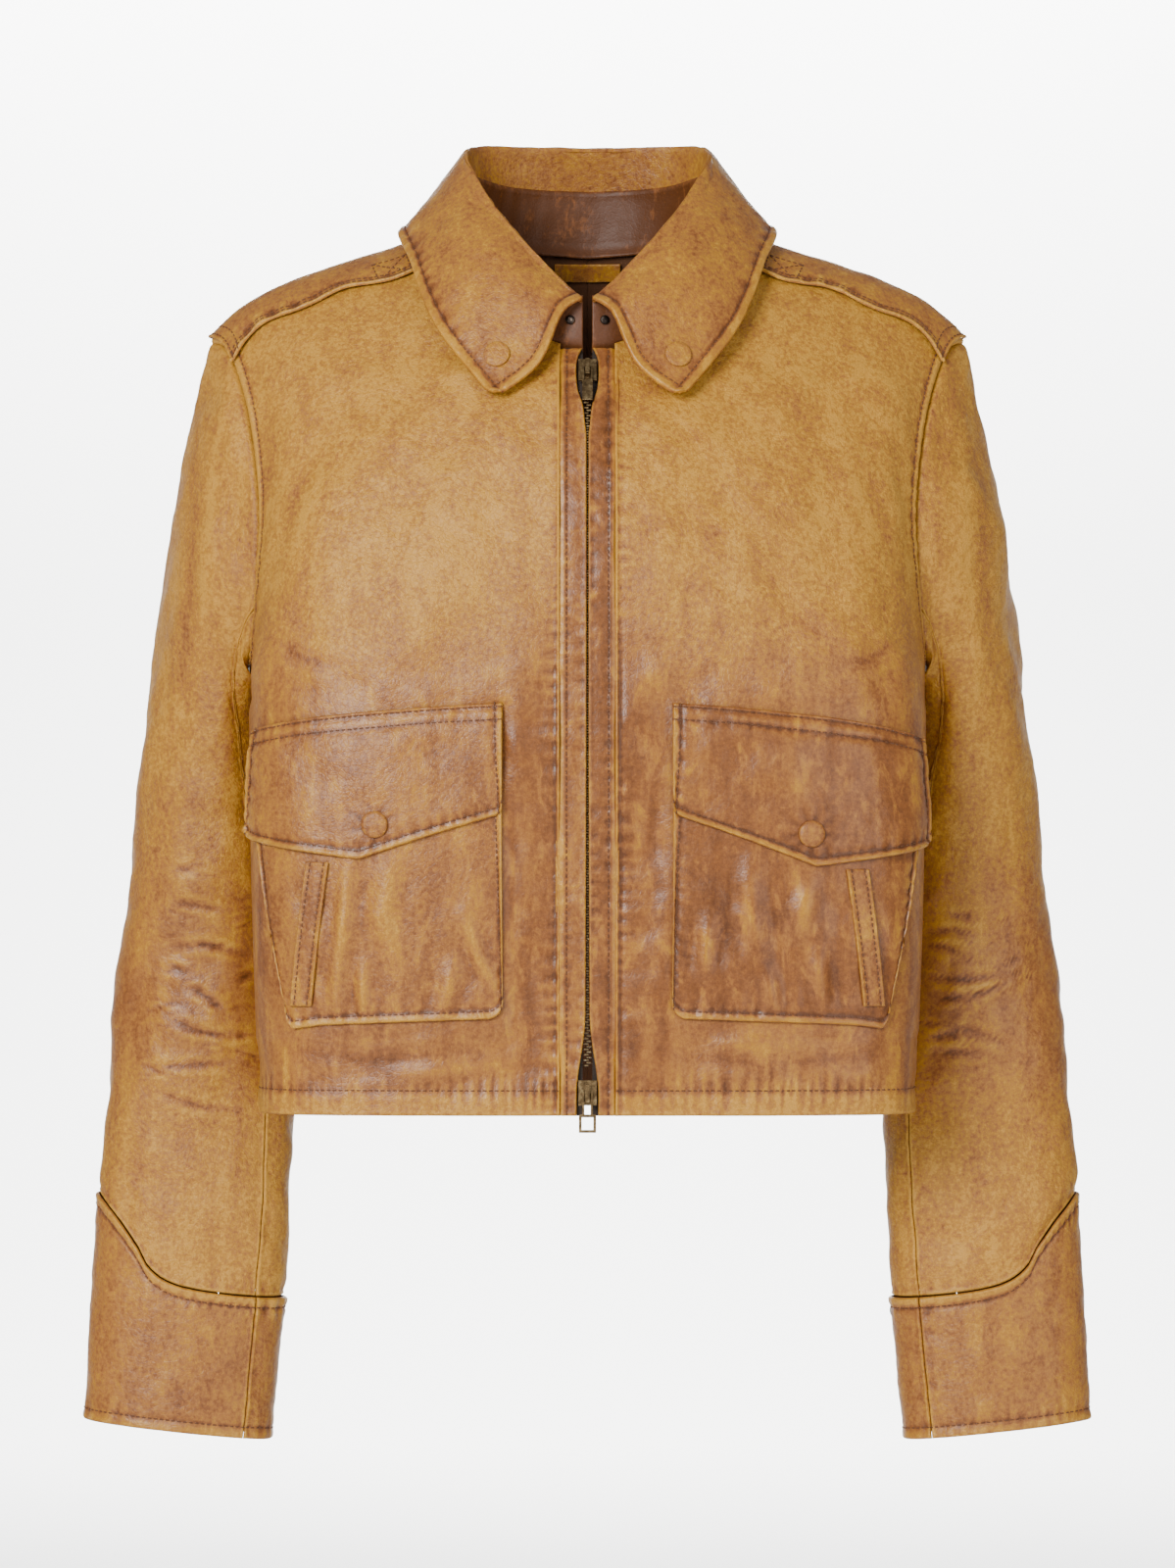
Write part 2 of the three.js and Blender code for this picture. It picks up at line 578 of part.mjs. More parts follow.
// Rise of the leaf above the straight line from roll to edge, near the roll and near the edge
const upperRise = path([
  [0, -5, 0, 10.5], [0.15, 0, -6, 7], [0.38, -1, -3, 4], [0.5, -1, 0, 1], [0.7, 2, 3, 3], [1, 0, 6, 6],
]);
const lowerRise = path([
  [0, -8, -2, 0], [0.15, 2, -5, 3], [0.38, 0, -3, 2], [0.5, -1, 0, 1], [0.7, 2, 3, 1], [1, 0, 3, 1],
]);
const STAND_SHARE = 0.5;
const UPPER_SHARE = 0.3;
const LOWER_SHARE = 0.65;
function collarProfile(s) {
  const roll = rollLine(s);
  const edge = leafEdge(s);
  const base = bandPoint(s, 1, COLLAR_LEAN);
  base.z += COLLAR_GAP;
  const stand = base.clone().lerp(roll, STAND_SHARE);
  const upper = roll.clone().lerp(edge, UPPER_SHARE).add(upperRise(s));
  const lower = roll.clone().lerp(edge, LOWER_SHARE).add(lowerRise(s));
  return new THREE.CatmullRomCurve3([base, stand, roll, upper, lower, edge], false, "centripetal");
}
const collarStops = [0, 0.2, 0.33, 0.4, 0.48, 0.6, 0.7, 0.8, 0.9, 1];
const collarShares = range(COLLAR_HALF_COLUMNS);
const leftShares = collarShares.slice(0, -1).reverse();
const fullTurn = [...collarShares.map((s) => [s, -1]), ...leftShares.map((s) => [s, 1])];
const collarCurves = fullTurn.map(([s, sign]) => [collarProfile(s), sign]);
const collarGrid = collarStops.map((t) => collarCurves.map(([curve, sign]) => {
  const point = curve.getPoint(t);
  return new THREE.Vector3(sign * point.x, point.y, point.z);
}));
const collarNormals = gridNormals(collarGrid, new THREE.Vector3(0, 0.3, 1));
add("collar", wall(collarGrid, lifted(collarGrid, collarNormals, -TURNED_LEATHER)), "gold");
const bandGrid = [0, 0.5, 1].map((rise) => fullTurn.map(([s, sign]) => {
  const point = bandPoint(s, rise);
  return new THREE.Vector3(sign * point.x, point.y, point.z);
}));
const bandNormals = gridNormals(bandGrid, new THREE.Vector3(0, 1, 0));
add("neck_band", wall(bandGrid, lifted(bandGrid, bandNormals, -LEATHER)), "brown");

// Snaps on the collar tips and on the ends of the neck band
const TIP_SNAP = { share: 0.06, stop: 0.88, radius: 7.4, height: 0.9 };
const BAND_SNAP = { share: 0.06, rise: 0.5, radius: 2.6, height: 1.2 };
const collarSurface = (s, t) => collarProfile(s).getPoint(t);
const FORWARD = new THREE.Vector3(0, -1, 0);
for (const { side, sign } of sides) {
  const tip = frameOn(collarSurface, TIP_SNAP.share, TIP_SNAP.stop, FORWARD);
  tip.point.addScaledVector(tip.normal, 2 * LAYER_GAP);
  snapOn(`collar_snap_${side}`, tip, sign, TIP_SNAP, "gold");
  const end = frameOn(bandPoint, BAND_SNAP.share, BAND_SNAP.rise, FORWARD);
  end.point.addScaledVector(end.normal, LAYER_GAP);
  snapOn(`band_snap_${side}`, end, sign, BAND_SNAP, "iron");
}

// Shoulder straps across the shoulder seam
const STRAP_FRONT = 31;
const STRAP_BACK = 13;
const STRAP_SHARES = [0.12, 0.25, 0.4, 0.55, 0.7, 0.82, 0.92, 0.995];
function fromSeam(upperRows, u, distance) {
  const points = upperRows.map((row) => row(u));
  const whole = points.reduce((sum, p, i) => (i === 0 ? 0 : sum + p.distanceTo(points[i - 1])), 0);
  return along(points)(distance / whole);
}
const frontRows = range(60).map((t) => frontUpper(1 - 0.5 * t));
const backRows = range(60).map((t) => backUpper(1 - 0.5 * t));
const strapGrid = [-1, -0.75, -0.5, -0.25, 0, 0.5, 1].map((k) => STRAP_SHARES.map((u) => {
  return k < 0 ? fromSeam(frontRows, u, -k * STRAP_FRONT) : fromSeam(backRows, u, k * STRAP_BACK);
}));
const strapNormals = gridNormals(strapGrid, new THREE.Vector3(0, 0, 1));
for (const { side, sign } of sides) {
  const face = lifted(strapGrid, strapNormals, 3 * LAYER_GAP + LEATHER);
  const under = lifted(strapGrid, strapNormals, 3 * LAYER_GAP);
  add(`strap_${side}`, wall(mirrored(face, sign), mirrored(under, sign)), "tan");
}

// Front zip: placket strips, tapes and chain along the front centre
const PLACKET_PROUD = 0.5;
const stripPoint = (x, z, back) => new THREE.Vector3(x, frontY(z) + back, z);
const placketRows = [
  HEM_Z, -491, -482, -472, -462, -450, -440, -380, -320, -260,
  -200, -160, -130, -116, -104, -94, -86, -78, -71.5,
];
const TAPE_SPAN = [2.7, 13];
const tapeBack = PLACKET_PROUD + TURNED_LEATHER + LAYER_GAP;
for (const { side, sign } of sides) {
  const strip = (back) => placketRows.map((z) => {
    return [zipGap(z), PLACKET_EDGE_X].map((x) => stripPoint(sign * x, z, back));
  });
  add(`placket_${side}`, wall(strip(-PLACKET_PROUD), strip(TURNED_LEATHER - PLACKET_PROUD)), "brown");
  const tape = (back) => placketRows.map((z) => TAPE_SPAN.map((x) => stripPoint(sign * x, z, back)));
  add(`zip_tape_${side}`, wall(tape(tapeBack), tape(tapeBack + TAPE)), "tape");
}
const CHAIN_HALF = 2.3;
const CHAIN_DEPTH = 2.4;
const CHAIN_PROUD = 0.8;
const CHAIN_BOTTOM = -478;
const CHAIN_TOP = -92;
const chainRows = placketRows.filter((z) => z > CHAIN_BOTTOM && z < CHAIN_TOP);
const chain = (back) => chainRows.map((z) => [-CHAIN_HALF, CHAIN_HALF].map((x) => stripPoint(x, z, back)));
add("zip_chain", wall(chain(tapeBack - CHAIN_PROUD), chain(tapeBack - CHAIN_PROUD + CHAIN_DEPTH)), "brass");

// Sliders and pulls, joined from plain blocks
function block(width, depth, height, x, y, z) {
  return solid(new THREE.BoxGeometry(width, depth, height).translate(x, y, z));
}
const PLATE = { width: 10.2, height: 14, depth: 1.6 };
const CROWN = { width: 2.4, height: 10, rise: 4.4, bar: 1.2, bite: 0.4 };
const PIVOT_RISE = 1.8;
const PULL = { bar: 1.2, arm: 1.2, half: 1.7, depth: 1.3 };
function sliderGeometry() {
  const front = -PLATE.depth - CROWN.rise;
  const legs = [-1, 1].map((k) => {
    const z = k * (CROWN.height - CROWN.bar) / 2;
    return block(CROWN.width, CROWN.rise + CROWN.bite, CROWN.bar, 0, front / 2 - CROWN.bite, z);
  });
  return joined([
    block(PLATE.width, PLATE.depth, PLATE.height, 0, -PLATE.depth / 2, 0),
    block(CROWN.width, CROWN.bar, CROWN.height, 0, front + CROWN.bar / 2, 0),
    ...legs,
  ]);
}
// The pull hangs from a cross bar inside the crown, on two arms
function pullGeometry(neckLength, endPieces) {
  const arms = [-1, 1].map((k) => {
    const x = k * (PULL.half + PULL.arm / 2);
    return block(PULL.arm, PULL.depth, neckLength, x, 0, PULL.bar / 2 - neckLength / 2);
  });
  const width = 2 * (PULL.half + PULL.arm);
  return joined([block(width, PULL.bar, PULL.bar, 0, 0, 0), ...arms, ...endPieces]);
}
const TAB = { neck: 9, width: 5.8, height: 13, middle: -14.5 };
const tabPull = pullGeometry(TAB.neck, [block(TAB.width, PULL.depth, TAB.height, 0, 0, TAB.middle)]);
const RING = { neck: 13, width: 9.6, bar: 1.6, top: -12.6, bottom: -21.2 };
const ringMiddle = (RING.top + RING.bottom) / 2;
const ringPull = pullGeometry(RING.neck, [
  block(RING.width, PULL.depth, RING.bar, 0, 0, RING.top),
  block(RING.width, PULL.depth, RING.bar, 0, 0, RING.bottom),
  block(RING.bar, PULL.depth, RING.top - RING.bottom, (RING.bar - RING.width) / 2, 0, ringMiddle),
  block(RING.bar, PULL.depth, RING.top - RING.bottom, (RING.width - RING.bar) / 2, 0, ringMiddle),
]);
const sliders = { top: { z: -85, lean: 28, pull: tabPull }, bottom: { z: -487, lean: -2, pull: ringPull } };
const SLIDER_FRONT = 1;
for (const [name, { z, lean, pull }] of Object.entries(sliders)) {
  const carrier = new THREE.Group();
  carrier.position.set(0, frontY(z) - SLIDER_FRONT, z);
  carrier.rotation.x = -radians(lean);
  group.add(carrier);
  const body = add(`slider_${name}`, sliderGeometry(), "brass");
  carrier.add(body);
  const tab = add(`pull_${name}`, pull, "brass");
  tab.position.y = -PLATE.depth - PIVOT_RISE;
  carrier.add(tab);
}

// Hanger strip inside the back neck
const HANGER_HALF = 19;
const HANGER_TOP = -15;
const HANGER_BOTTOM = -25;
const HANGER_BEND = 3.5;
const hangerBack = LEATHER + LAYER_GAP;
const hanger = (back) => [HANGER_BOTTOM, HANGER_TOP].map((z) => [-1, -0.5, 0, 0.5, 1].map((k) => {
  return new THREE.Vector3(k * HANGER_HALF, backY(z) - back - HANGER_BEND * Math.abs(k), z);
}));
add("hanger_strip", wall(hanger(hangerBack), hanger(hangerBack + LEATHER)), "gold");

// Stud on the back of each under cuff, close to its top seam
const STUD = { share: 0.918, radius: 4.6, height: 3, lift: CUFF_PROUD + LAYER_GAP };
const STUD_OUT = new THREE.Vector3(-1, 0.5, 0);
const studTurns = { right: 222, left: 204 };
for (const { side, sign } of sides) {
  const seat = frameOn(sleeveSurface, studTurns[side] / 360, STUD.share, STUD_OUT);
  seat.point.addScaledVector(seat.normal, STUD.lift);
  snapOn(`cuff_stud_${side}`, seat, sign, STUD, "iron");
}

export default group;
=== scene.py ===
import bmesh
import bpy
import numpy as np
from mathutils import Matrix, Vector


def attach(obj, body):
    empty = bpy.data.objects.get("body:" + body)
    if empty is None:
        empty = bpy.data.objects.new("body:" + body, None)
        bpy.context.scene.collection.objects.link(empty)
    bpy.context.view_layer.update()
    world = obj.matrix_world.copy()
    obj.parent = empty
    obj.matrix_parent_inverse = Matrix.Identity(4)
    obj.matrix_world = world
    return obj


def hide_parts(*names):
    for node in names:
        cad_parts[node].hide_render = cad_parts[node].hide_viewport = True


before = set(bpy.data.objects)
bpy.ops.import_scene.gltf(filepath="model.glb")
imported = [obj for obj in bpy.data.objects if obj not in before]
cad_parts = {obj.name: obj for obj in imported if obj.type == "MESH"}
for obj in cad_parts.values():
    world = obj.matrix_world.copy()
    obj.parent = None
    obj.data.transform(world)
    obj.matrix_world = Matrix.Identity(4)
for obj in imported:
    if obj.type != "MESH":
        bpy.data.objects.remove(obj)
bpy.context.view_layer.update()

# Sizes in millimetres, as in the part's source
MM = 0.001
LEATHER = 1.6
TURNED_LEATHER = 2.2
LAYER_GAP = 0.5
CUFF_PROUD = 1.6
HEM_Z = -500
UNDERARM_Z = -249
PANEL_EDGE_X = 15.3
PLACKET_EDGE_X = 15
SIDE_SEAM_Y = -18
FRONT_POWER = 4
BACK_POWER = 2
SEAM_TRIM = 0.9987
NECK_HALF_WIDTH = 71
NECK_CENTRE_Y = -10
NECK_HALF_DEPTH = 68
SHOULDER_TIP = (216, 2)
BAND_LEAN = 1.5
BAND_GAP = 1.4
COLLAR_GAP = 0.9
COLLAR_LEAN = 0.8
NECK_GAP_ANGLE = 2.1
FRONT_SLEEVE_SEAM = 135
BACK_SLEEVE_SEAM = 255
SEAM_ANGLE = 0.2
SLEEVE_START = 0.0006
CUFF_SEAM = 0.0004
ARMHOLE_BLEND = 0.3
ARMHOLE_WIDEST = 60
SLEEVE_POWER = 2.2
FRONT_WIDTH = 272
SIDES = {"right": -1, "left": 1}
FRONT_NECK_SHARE = 7 / 12
BACK_NECK_SHARE = 9 / 12
LEAF_SHARES = (0.3, 0.65)

# Directions that pieces face
UP = (0, 0, 1)
FORWARD = (0, -1, 0)
BACKWARD = (0, 1, 0)
FRONT_OUTSIDE = (0.3, -1, 0)
BACK_OUTSIDE = (0.3, 1, 0)
COLLAR_OUTSIDE = (0, 0.3, 1)
STUD_OUTSIDE = (-1, 0.5, 0)

# Points on curves, and small distances
SECTION_POINTS = 181
SHOULDER_POINTS = 61
ARC_POINTS = 200
HALVINGS = 30
CUFF_SEARCH_START = 0.6
NORMAL_STEP = 0.004
TINY = 1e-9
WELD_DISTANCE = 0.00002

# Grid spacing, edges and stitches
STEP = 2.6
EDGE_KNOTS = np.array([0, 0.15, 0.4, 0.7])
EDGE_FALL = 0.9
EDGE_WEAR = 0.2
EDGE_WEAR_REACH = 2.2
EDGE_WEAR_SHARE = 0.75
EDGE_WEAR_CHANGE = 0.35
EDGE_WEAR_SIZE = 18
EDGE_WEAR_SEED = 3
STITCH_PITCH = 3.4
STITCH_LENGTH = 2.5
STITCH_RADIUS = 0.42
STITCH_SIDES = 5
STITCH_SHOULDER = 0.62
STITCH_LOOK = 0.6
STITCH_LIFT = 0.1

# Seams by kind: height of the lip, depth of the groove, and the height, length and spread of the puckers
SEAMS = {
    "hem": (0.3, 0.7, 0.75, 7, 9),
    "armhole": (0.8, 0.6, 0.35, 12, 7),
    "side": (0.2, 0.3, 0.2, 14, 6),
    "zip_edge": (1.0, 0.7, 0.5, 8, 8),
    "bag": (0.9, 0.8, 0.4, 8, 7),
    "flap": (0.9, 0.8, 0.4, 8, 6),
    "flap_top": (0.25, 0.7, 0.3, 7, 4),
    "welt": (0.3, 0.4, 0.2, 8, 4),
    "sleeve": (0.3, 0.4, 0.25, 12, 6),
    "sleeve_head": (0.2, 0.35, 0.3, 11, 8),
    "sleeve_end": (0.2, 0.35, 0.35, 8, 8),
    "cuff_top": (0.6, 0.7, 0.6, 7, 8),
    "cuff_hem": (0.4, 0.5, 0.4, 8, 7),
    "cuff_side": (0.3, 0.4, 0.2, 12, 5),
    "leaf": (1.0, 0.8, 0.4, 9, 7),
    "leaf_end": (1.0, 0.8, 0.35, 9, 7),
    "band": (0.4, 0.4, 0.15, 9, 4),
    "strap": (0.5, 0.6, 0.55, 15, 5),
    "strap_tip": (0.3, 0.4, 0.2, 8, 5),
    "placket_edge": (0.4, 0.2, 0.45, 9, 4),
    "placket": (0.5, 0.5, 0.35, 9, 4),
}
LIP_RISE = 1.2
LIP_FALL = (2.2, 0.2)
GROOVE_WIDTH = 1.1
PUCKER_EDGE = 1.5
PUCKER_STRENGTH = 0.6
PUCKER_CHANGE = 0.4
PUCKER_CHANGE_LENGTH = 31
PUCKER_CHANGE_TURN = 5
SEAM_WANDER = [(3, 23, 1), (2, 9.1, 2)]

# Creases and rumples: rumples by kind as (height, size) layers
CREASE_ENDS = (0.03, 0.97)
CREASE_FACING = (0.05, 0.4)
CREASE_SHOULDER = 0.55
CREASE_SHOULDER_AT = 1.9
WAVE_COUNT = 14
WAVE_LENGTHS = (0.7, 1.8)
RUMPLES = {
    "body": [(0.5, 24), (0.14, 9)],
    "body_sway": [(1.6, 75)],
    "bag_folds": [(1.5, 24)],
    "bag": [(0.6, 22)],
    "bag_fine": [(0.14, 10)],
    "flap": [(0.4, 26), (0.14, 9)],
    "sleeve_sway": [(1.4, 70)],
    "cuff": [(0.25, 22), (0.14, 9)],
    "collar": [(0.25, 26), (0.13, 9)],
    "band": [(0.15, 14)],
    "strap": [(0.2, 20)],
    "placket": [(0.2, 16), (0.12, 8)],
    "hanger": [(0.2, 10)],
}

# Brown of the leather, from 0 for rubbed gold to 1 for dark, and what an edge adds over a reach
# the band goes past dark brown: its dye, pushed darker as painted shade inside the back neck
TONES = {
    "chest": 0.15, "back": -0.05, "sleeve": 0.2, "elbow": 0.34, "cuff": 0.45, "collar": 0.4, "band": 1.1,
    "strap": 0.42, "welt": 0.5, "hanger": 0.5, "flap_snap": 0.42, "collar_snap": 0.35,
    "placket_right": 0.58, "placket_left": 0.72,
}
EDGE_TONES = {
    "panel": (0.16, 14), "flap": (0.15, 12), "cuff": (0.1, 14), "collar": (0.28, 16), "strap": (0.14, 8),
    "placket": (-0.2, 2),
}
LOWER_TONE = 0.4
LOWER_TONE_Z = (-185, -290)
CENTRE_TONE = 0.16
CENTRE_TONE_X = (18, 60)
CENTRE_TONE_Z = (-90, -200)
HEM_RUB = 0.16
HEM_RUB_REACH = (6, 14)
# pocket bag's dome painted lighter in the middle: painted highlight
BAG_PAINTED_HIGHLIGHT = 0.1

# Front and back panels
LOWER_COUNT = round((UNDERARM_Z - HEM_Z) / STEP)
UPPER_COUNT = 96
FRONT_COUNT = round(FRONT_WIDTH / STEP)
BACK_COUNT = 84
HEM_STITCH = 14
ARMHOLE_STITCH = 5.6
SHOULDER_TRIM = 0.9985
PANEL_EASE = 40
SEAM_TURN = 1.2
SEAM_TURN_REACH = 3
SLEEVE_TURN = 2.4
ARMHOLE_EASE_ROWS = 8
ARMHOLE_STITCH_START = 0.02
ARMHOLE_STITCH_END = 0.96
ARMHOLE_CALM = 18
HEM_CALM = 25
NECK_CALM = 0.75
FRONT_NECK_CALM_Z = (-90, -70)
BACK_NECK_CALM_Z = (-60, -30)
BACK_CENTRE_CALM = 25
BACK_SEAM_SEED = 3
FRONT_RUMPLE_SEED = 5
BACK_RUMPLE_SEED = 8
SIDE_STITCH = 3
ZIP_EDGE_STITCH = 2.6
ZIP_EDGE_END_Z = (-92, -72)
POCKET_AREA_X = [(40, 48), (192, 200)]
POCKET_AREA_Z = [(-460, -452), (-276, -266)]
UNDER_POCKET_RELIEF = 0.1
CENTRE_X = 0.01

# Pockets: bag, flap, welt and snap on each front, by arc length from the panel's centre edge
POCKET_ARCS = [34.5, 60, 84, 106, 128, 146, 162, 176, 190, 198]
POCKET_LAST = len(POCKET_ARCS) - 1
BAG_OUTER_ARC = 167.6
BAG_SQUARE_ARC = 146
POINT_SHARE = 3.6
FLAP_INNER_TOP = -271
FLAP_INNER_BOTTOM = -332.5
FLAP_BOW = 1.2
BAG_BELOW_FLAP_TOP = 14
BAG_BOTTOM_INNER = -446
BAG_BOTTOM_OUTER = -453
BAG_BULGE = 3
BAG_GAP = 0.9
BAG_CORNERS = (9, 12)
FLAP_CORNER = 4
WELT_HALF_WIDTH = 6.8
WELT_TOP_X = 148
WELT_BOTTOM_X = 157.5
WELT_BOTTOM_Z = -439
WELT_BELOW_FLAP = 1.5
POCKET_STITCH = 4.4
POCKET_FOLD = 1.9
# share of the bag's folds in the relief: painted rubbed pale on the ridges and darker beside them as painted
# shade
POCKET_FOLD_RUB_AND_SHADE = 0.26
FLAP_COLUMNS = 74
FLAP_ROWS = 34
BAG_ROWS = 64
WELT_ROWS = 34
WELT_COLUMNS = 8
WELT_SHARE = 6
FLAP_STITCH = 4.5
FLAP_TOP_STITCHES = (2, 9)
WELT_STITCH = 2.6
SNAP_RADIUS = 7.4
SNAP_HEIGHT = 2.4
DIMPLE_REACH = 11
DIMPLE_FOLDS = 9
FOLD_STRETCH = (1.5, 1, 0.45)
BELOW_FLAP = (0.5, 0.62)
OVER_BAG = (-0.1, 0.02)
DIMPLE_DEPTH = 0.5
DIMPLE_FOLD = 0.25
DIMPLE_FOLD_WIDTH = 5
DIMPLE_CALM = 3
CAP_STEPS = 40
CAP_PROFILE = [(0.96, 0), (1, 0.15), (1, 0.45), (0.93, 0.75), (0.74, 0.93), (0.4, 1)]

# Sleeves and cuffs
SLEEVE_ROWS = 210
CUFF_ROWS = 46
CUFF_SEAM_STITCH = 6
CUFF_HEM_STITCH = 6.5
SLEEVE_STITCH = 3
ELBOW_Z = -430
ELBOW_REACH = 70
UNDERARM_FULLNESS = 8
WRINKLE_SEED = 40
WRINKLE_COUNT = 34
WRINKLE_X = (192, 256)
WRINKLE_SPREAD = 36
WRINKLE_LENGTHS = (12, 34)
WRINKLE_DROP = 8
WRINKLE_SLOPE = 0.45
WRINKLE_BOW = 2.5
ELBOW_CREASE = {"width": 2.2, "depth": 0.75}
ELBOW_BACK_CREASE = {"width": 3.2, "depth": 0.8, "front": False}
FINE_WRINKLE = {"width": 1.3, "depth": 0.4}
PRESSED_CREASE = {"width": 5, "depth": 0.45}
SLEEVE_HEAD_CALM = 20
SLEEVE_END_CALM = 12
UNDERARM_SIDE = 30
UNDERARM_TOP = 18
UNDERARM_FULL_Z = (-372, -318)

# Neck band, collar, snaps and studs
HALF_TURN = 135
COLLAR_ROWS = 60
BAND_ROWS = 12
BAND_OVERLAP = 1.13
BAND_UNDER = 0.22
BAND_UNDER_LEAN = 14
COLLAR_STITCH = 6
LEAF_START = 0.42
COLLAR_TIP_RADIUS = 10
BAND_STITCH = 2.4
LEAF_EASE = 0.04
LEAF_STITCHES = (0.02, 0.98)
LEAF_END_STITCHES = (LEAF_START, 0.95)
TIP_SNAP = {"share": 0.06, "stop": 0.88, "radius": 7.4, "height": 0.9}
BAND_SNAP = {"share": 0.06, "rise": 0.5, "radius": 2.6, "height": 1.2}
STUD = {"share": 0.918, "radius": 4.6, "height": 3}

# Shoulder straps
STRAP_FRONT = 31
STRAP_BACK = 13
STRAP_SPAN = (0.12, 0.995)
STRAP_COLUMNS = 54
STRAP_ROWS = 20
STRAP_EASE = 12
STRAP_STITCHES = (3, 5.5)
STRAP_TIP_STITCH = 9
STRAP_WAVE = 0.07
STRAP_WAVE_START = 0.3
STRAP_WAVE_SHARE = 0.36
STRAP_BOX_ROWS = (3.5, 10.5)
STRAP_BOX_COLUMNS = (9, 17)
CROSS_POINTS = 16

# Zip along the front centre
PLACKET_TOP_Z = -71.5
PLACKET_PROUD = 0.5
PLACKET_COUNT = 165
PLACKET_COLUMNS = 9
PLACKET_STITCH = 6.4
PLACKET_TUCK_X = 18
PLACKET_TUCK = 2.7
CHAIN_Z = (-472, -94)
CHAIN_HALF = 2.3
CHAIN_BACK = 2.4
CHAIN_DEPTH = 2.4
TOOTH_PITCH = 1.5
TOOTH_HEIGHT = 1.0
TOOTH_INNER_X = 0.5
TOOTH_TIP_INSET = 0.35
METAL_BEVEL = 0.00022
PLACKET_EDGE_STITCH = 2.0
PLACKET_CLOSER = 0.9
PLACKET_CLOSER_LOW_Z = (-474, -448)
PLACKET_CLOSER_HIGH_Z = (-112, -122)
PLACKET_TUCK_SPAN = (PLACKET_EDGE_X - 0.9, PLACKET_EDGE_X + 0.4)
FLAT_ANGLE = 0.02

# Hanger strip
HANGER_HALF = 19
HANGER_SPAN = (-25, -15)
HANGER_BEND = 3.5
HANGER_ROWS = 5
HANGER_COLUMNS = 16

# Colours
GOLD = (0.46, 0.2, 0.018, 1)
PALE_GOLD = (0.57, 0.275, 0.034, 1)
TAN = (0.37, 0.142, 0.026, 1)
BROWN = (0.25, 0.083, 0.019, 1)
DARK_BROWN = (0.115, 0.035, 0.007, 1)
FLESH_SIDE = (0.09, 0.042, 0.02, 1)
THREAD_COLOUR = (0.13, 0.052, 0.02, 1)
LEATHER_STOPS = [(0.0, PALE_GOLD), (0.2, GOLD), (0.44, TAN), (0.66, BROWN), (1.0, DARK_BROWN)]
THREAD_STOPS = [(0.3, DARK_BROWN), (0.7, THREAD_COLOUR)]
TAPE_STOPS = [(0.3, (0.012, 0.012, 0.012, 1)), (0.7, (0.06, 0.035, 0.02, 1))]
BRASS_STOPS = [(0.0, (0.05, 0.03, 0.015, 1)), (0.55, (0.2, 0.13, 0.06, 1)), (1.0, (0.5, 0.36, 0.18, 1))]
IRON_STOPS = [(0.0, (0.01, 0.008, 0.007, 1)), (0.55, (0.04, 0.03, 0.025, 1)), (1.0, (0.16, 0.12, 0.09, 1))]
METAL_PATCHES = 0.8
METAL_SCRATCHES = 0.25
METAL_WORN = (0.35, 0.7)
METAL_ROUGHNESS = (0.5, 0.25)

# Leather's surface: spans of noise, relief and brown where an effect sets in, and its weight in the tone
SCUFFED = (0.51, 0.7)
STAINED = (0.45, 0.28)
RUBBED = (0.05, 0.55)
# darker where the relief sinks, in grooves, crease troughs and hollows: painted shade
PAINTED_SHADE_SPAN = (-0.08, -0.7)
SMOOTH = (0.3, 0.6)
WAXED = (0.95, 0.75)
PORE_SPAN = (0.0, 0.55)
PORE_SHADE = (1.1, 0.86)
CRACK_SPAN = (0.0, 0.16)
SMOOTH_FRECKLES = (1.0, 0.45)
SMOOTH_SCUFFS = (0.14, 0.42)
SMOOTH_BUMPS = (1.0, 0.3)
# the share for sinking relief is painted shade in grooves, crease troughs and hollows
TONE_SHARES = {
    "clouds": 0.32, "streaks": 0.8, "mottle": 0.5, "specks": 1.4,
    "stained": 0.12, "rubbed": -0.38, "painted_shade": 0.42,
}
POLISH_SHARES = {"waxed": -0.16, "mottle": 0.2, "rubbed": -0.05, "inside": 0.4}
NOISE_MEAN = 0.5
LEATHER_ROUGHNESS = 0.5
LEATHER_SPECULAR = 0.36

# Stage, lights and camera, in metres
FLOOR_Z = -1.45
FLOOR_FRONT = -10
WALL_Y = 9.5
WALL_TOP = 6
COVE_RADIUS = 1.5
STAGE_HALF_WIDTH = 10
STAGE_COLOUR = (0.92, 0.92, 0.91, 1)
COVE_POINTS = 17
LIGHTS = [
    {"name": "key", "at": (-1.5, -3.3, 0.85), "size": 1.4, "watts": 152},
    {"name": "fill", "at": (2.2, -3.2, 0.0), "size": 2.2, "watts": 42},
    {"name": "wall_left", "at": (-1.2, 7.9, 2.6), "size": 1.8, "watts": 520, "aim": (-0.5, 9.5, -0.4)},
    {"name": "wall_right", "at": (1.2, 7.9, 2.6), "size": 1.8, "watts": 520, "aim": (0.5, 9.5, -0.4)},
]
LIGHT_AIM = (0, 0, -0.3)
WORLD_COLOUR = (0.95, 0.97, 1, 1)
WORLD_STRENGTH = 0.42
CAMERA_AT = (0, -4.0, -0.31584)
LENS = 160.71
SENSOR = 36


# Curves
def reach(points, axis):
    """Length along a grid's rows or columns from their start."""
    lengths = np.linalg.norm(np.diff(points, axis=axis), axis=-1)
    start = np.zeros_like(np.take(lengths, [0], axis=axis))
    return np.concatenate([start, np.cumsum(lengths, axis=axis)], axis=axis)


def hermite(t, start, end, start_slope, end_slope):
    """Cubic curve between two values, with a slope at each."""
    ends = (2 * t**3 - 3 * t**2 + 1) * start + (3 * t**2 - 2 * t**3) * end
    return ends + (t**3 - 2 * t**2 + t) * start_slope + (t**3 - t**2) * end_slope


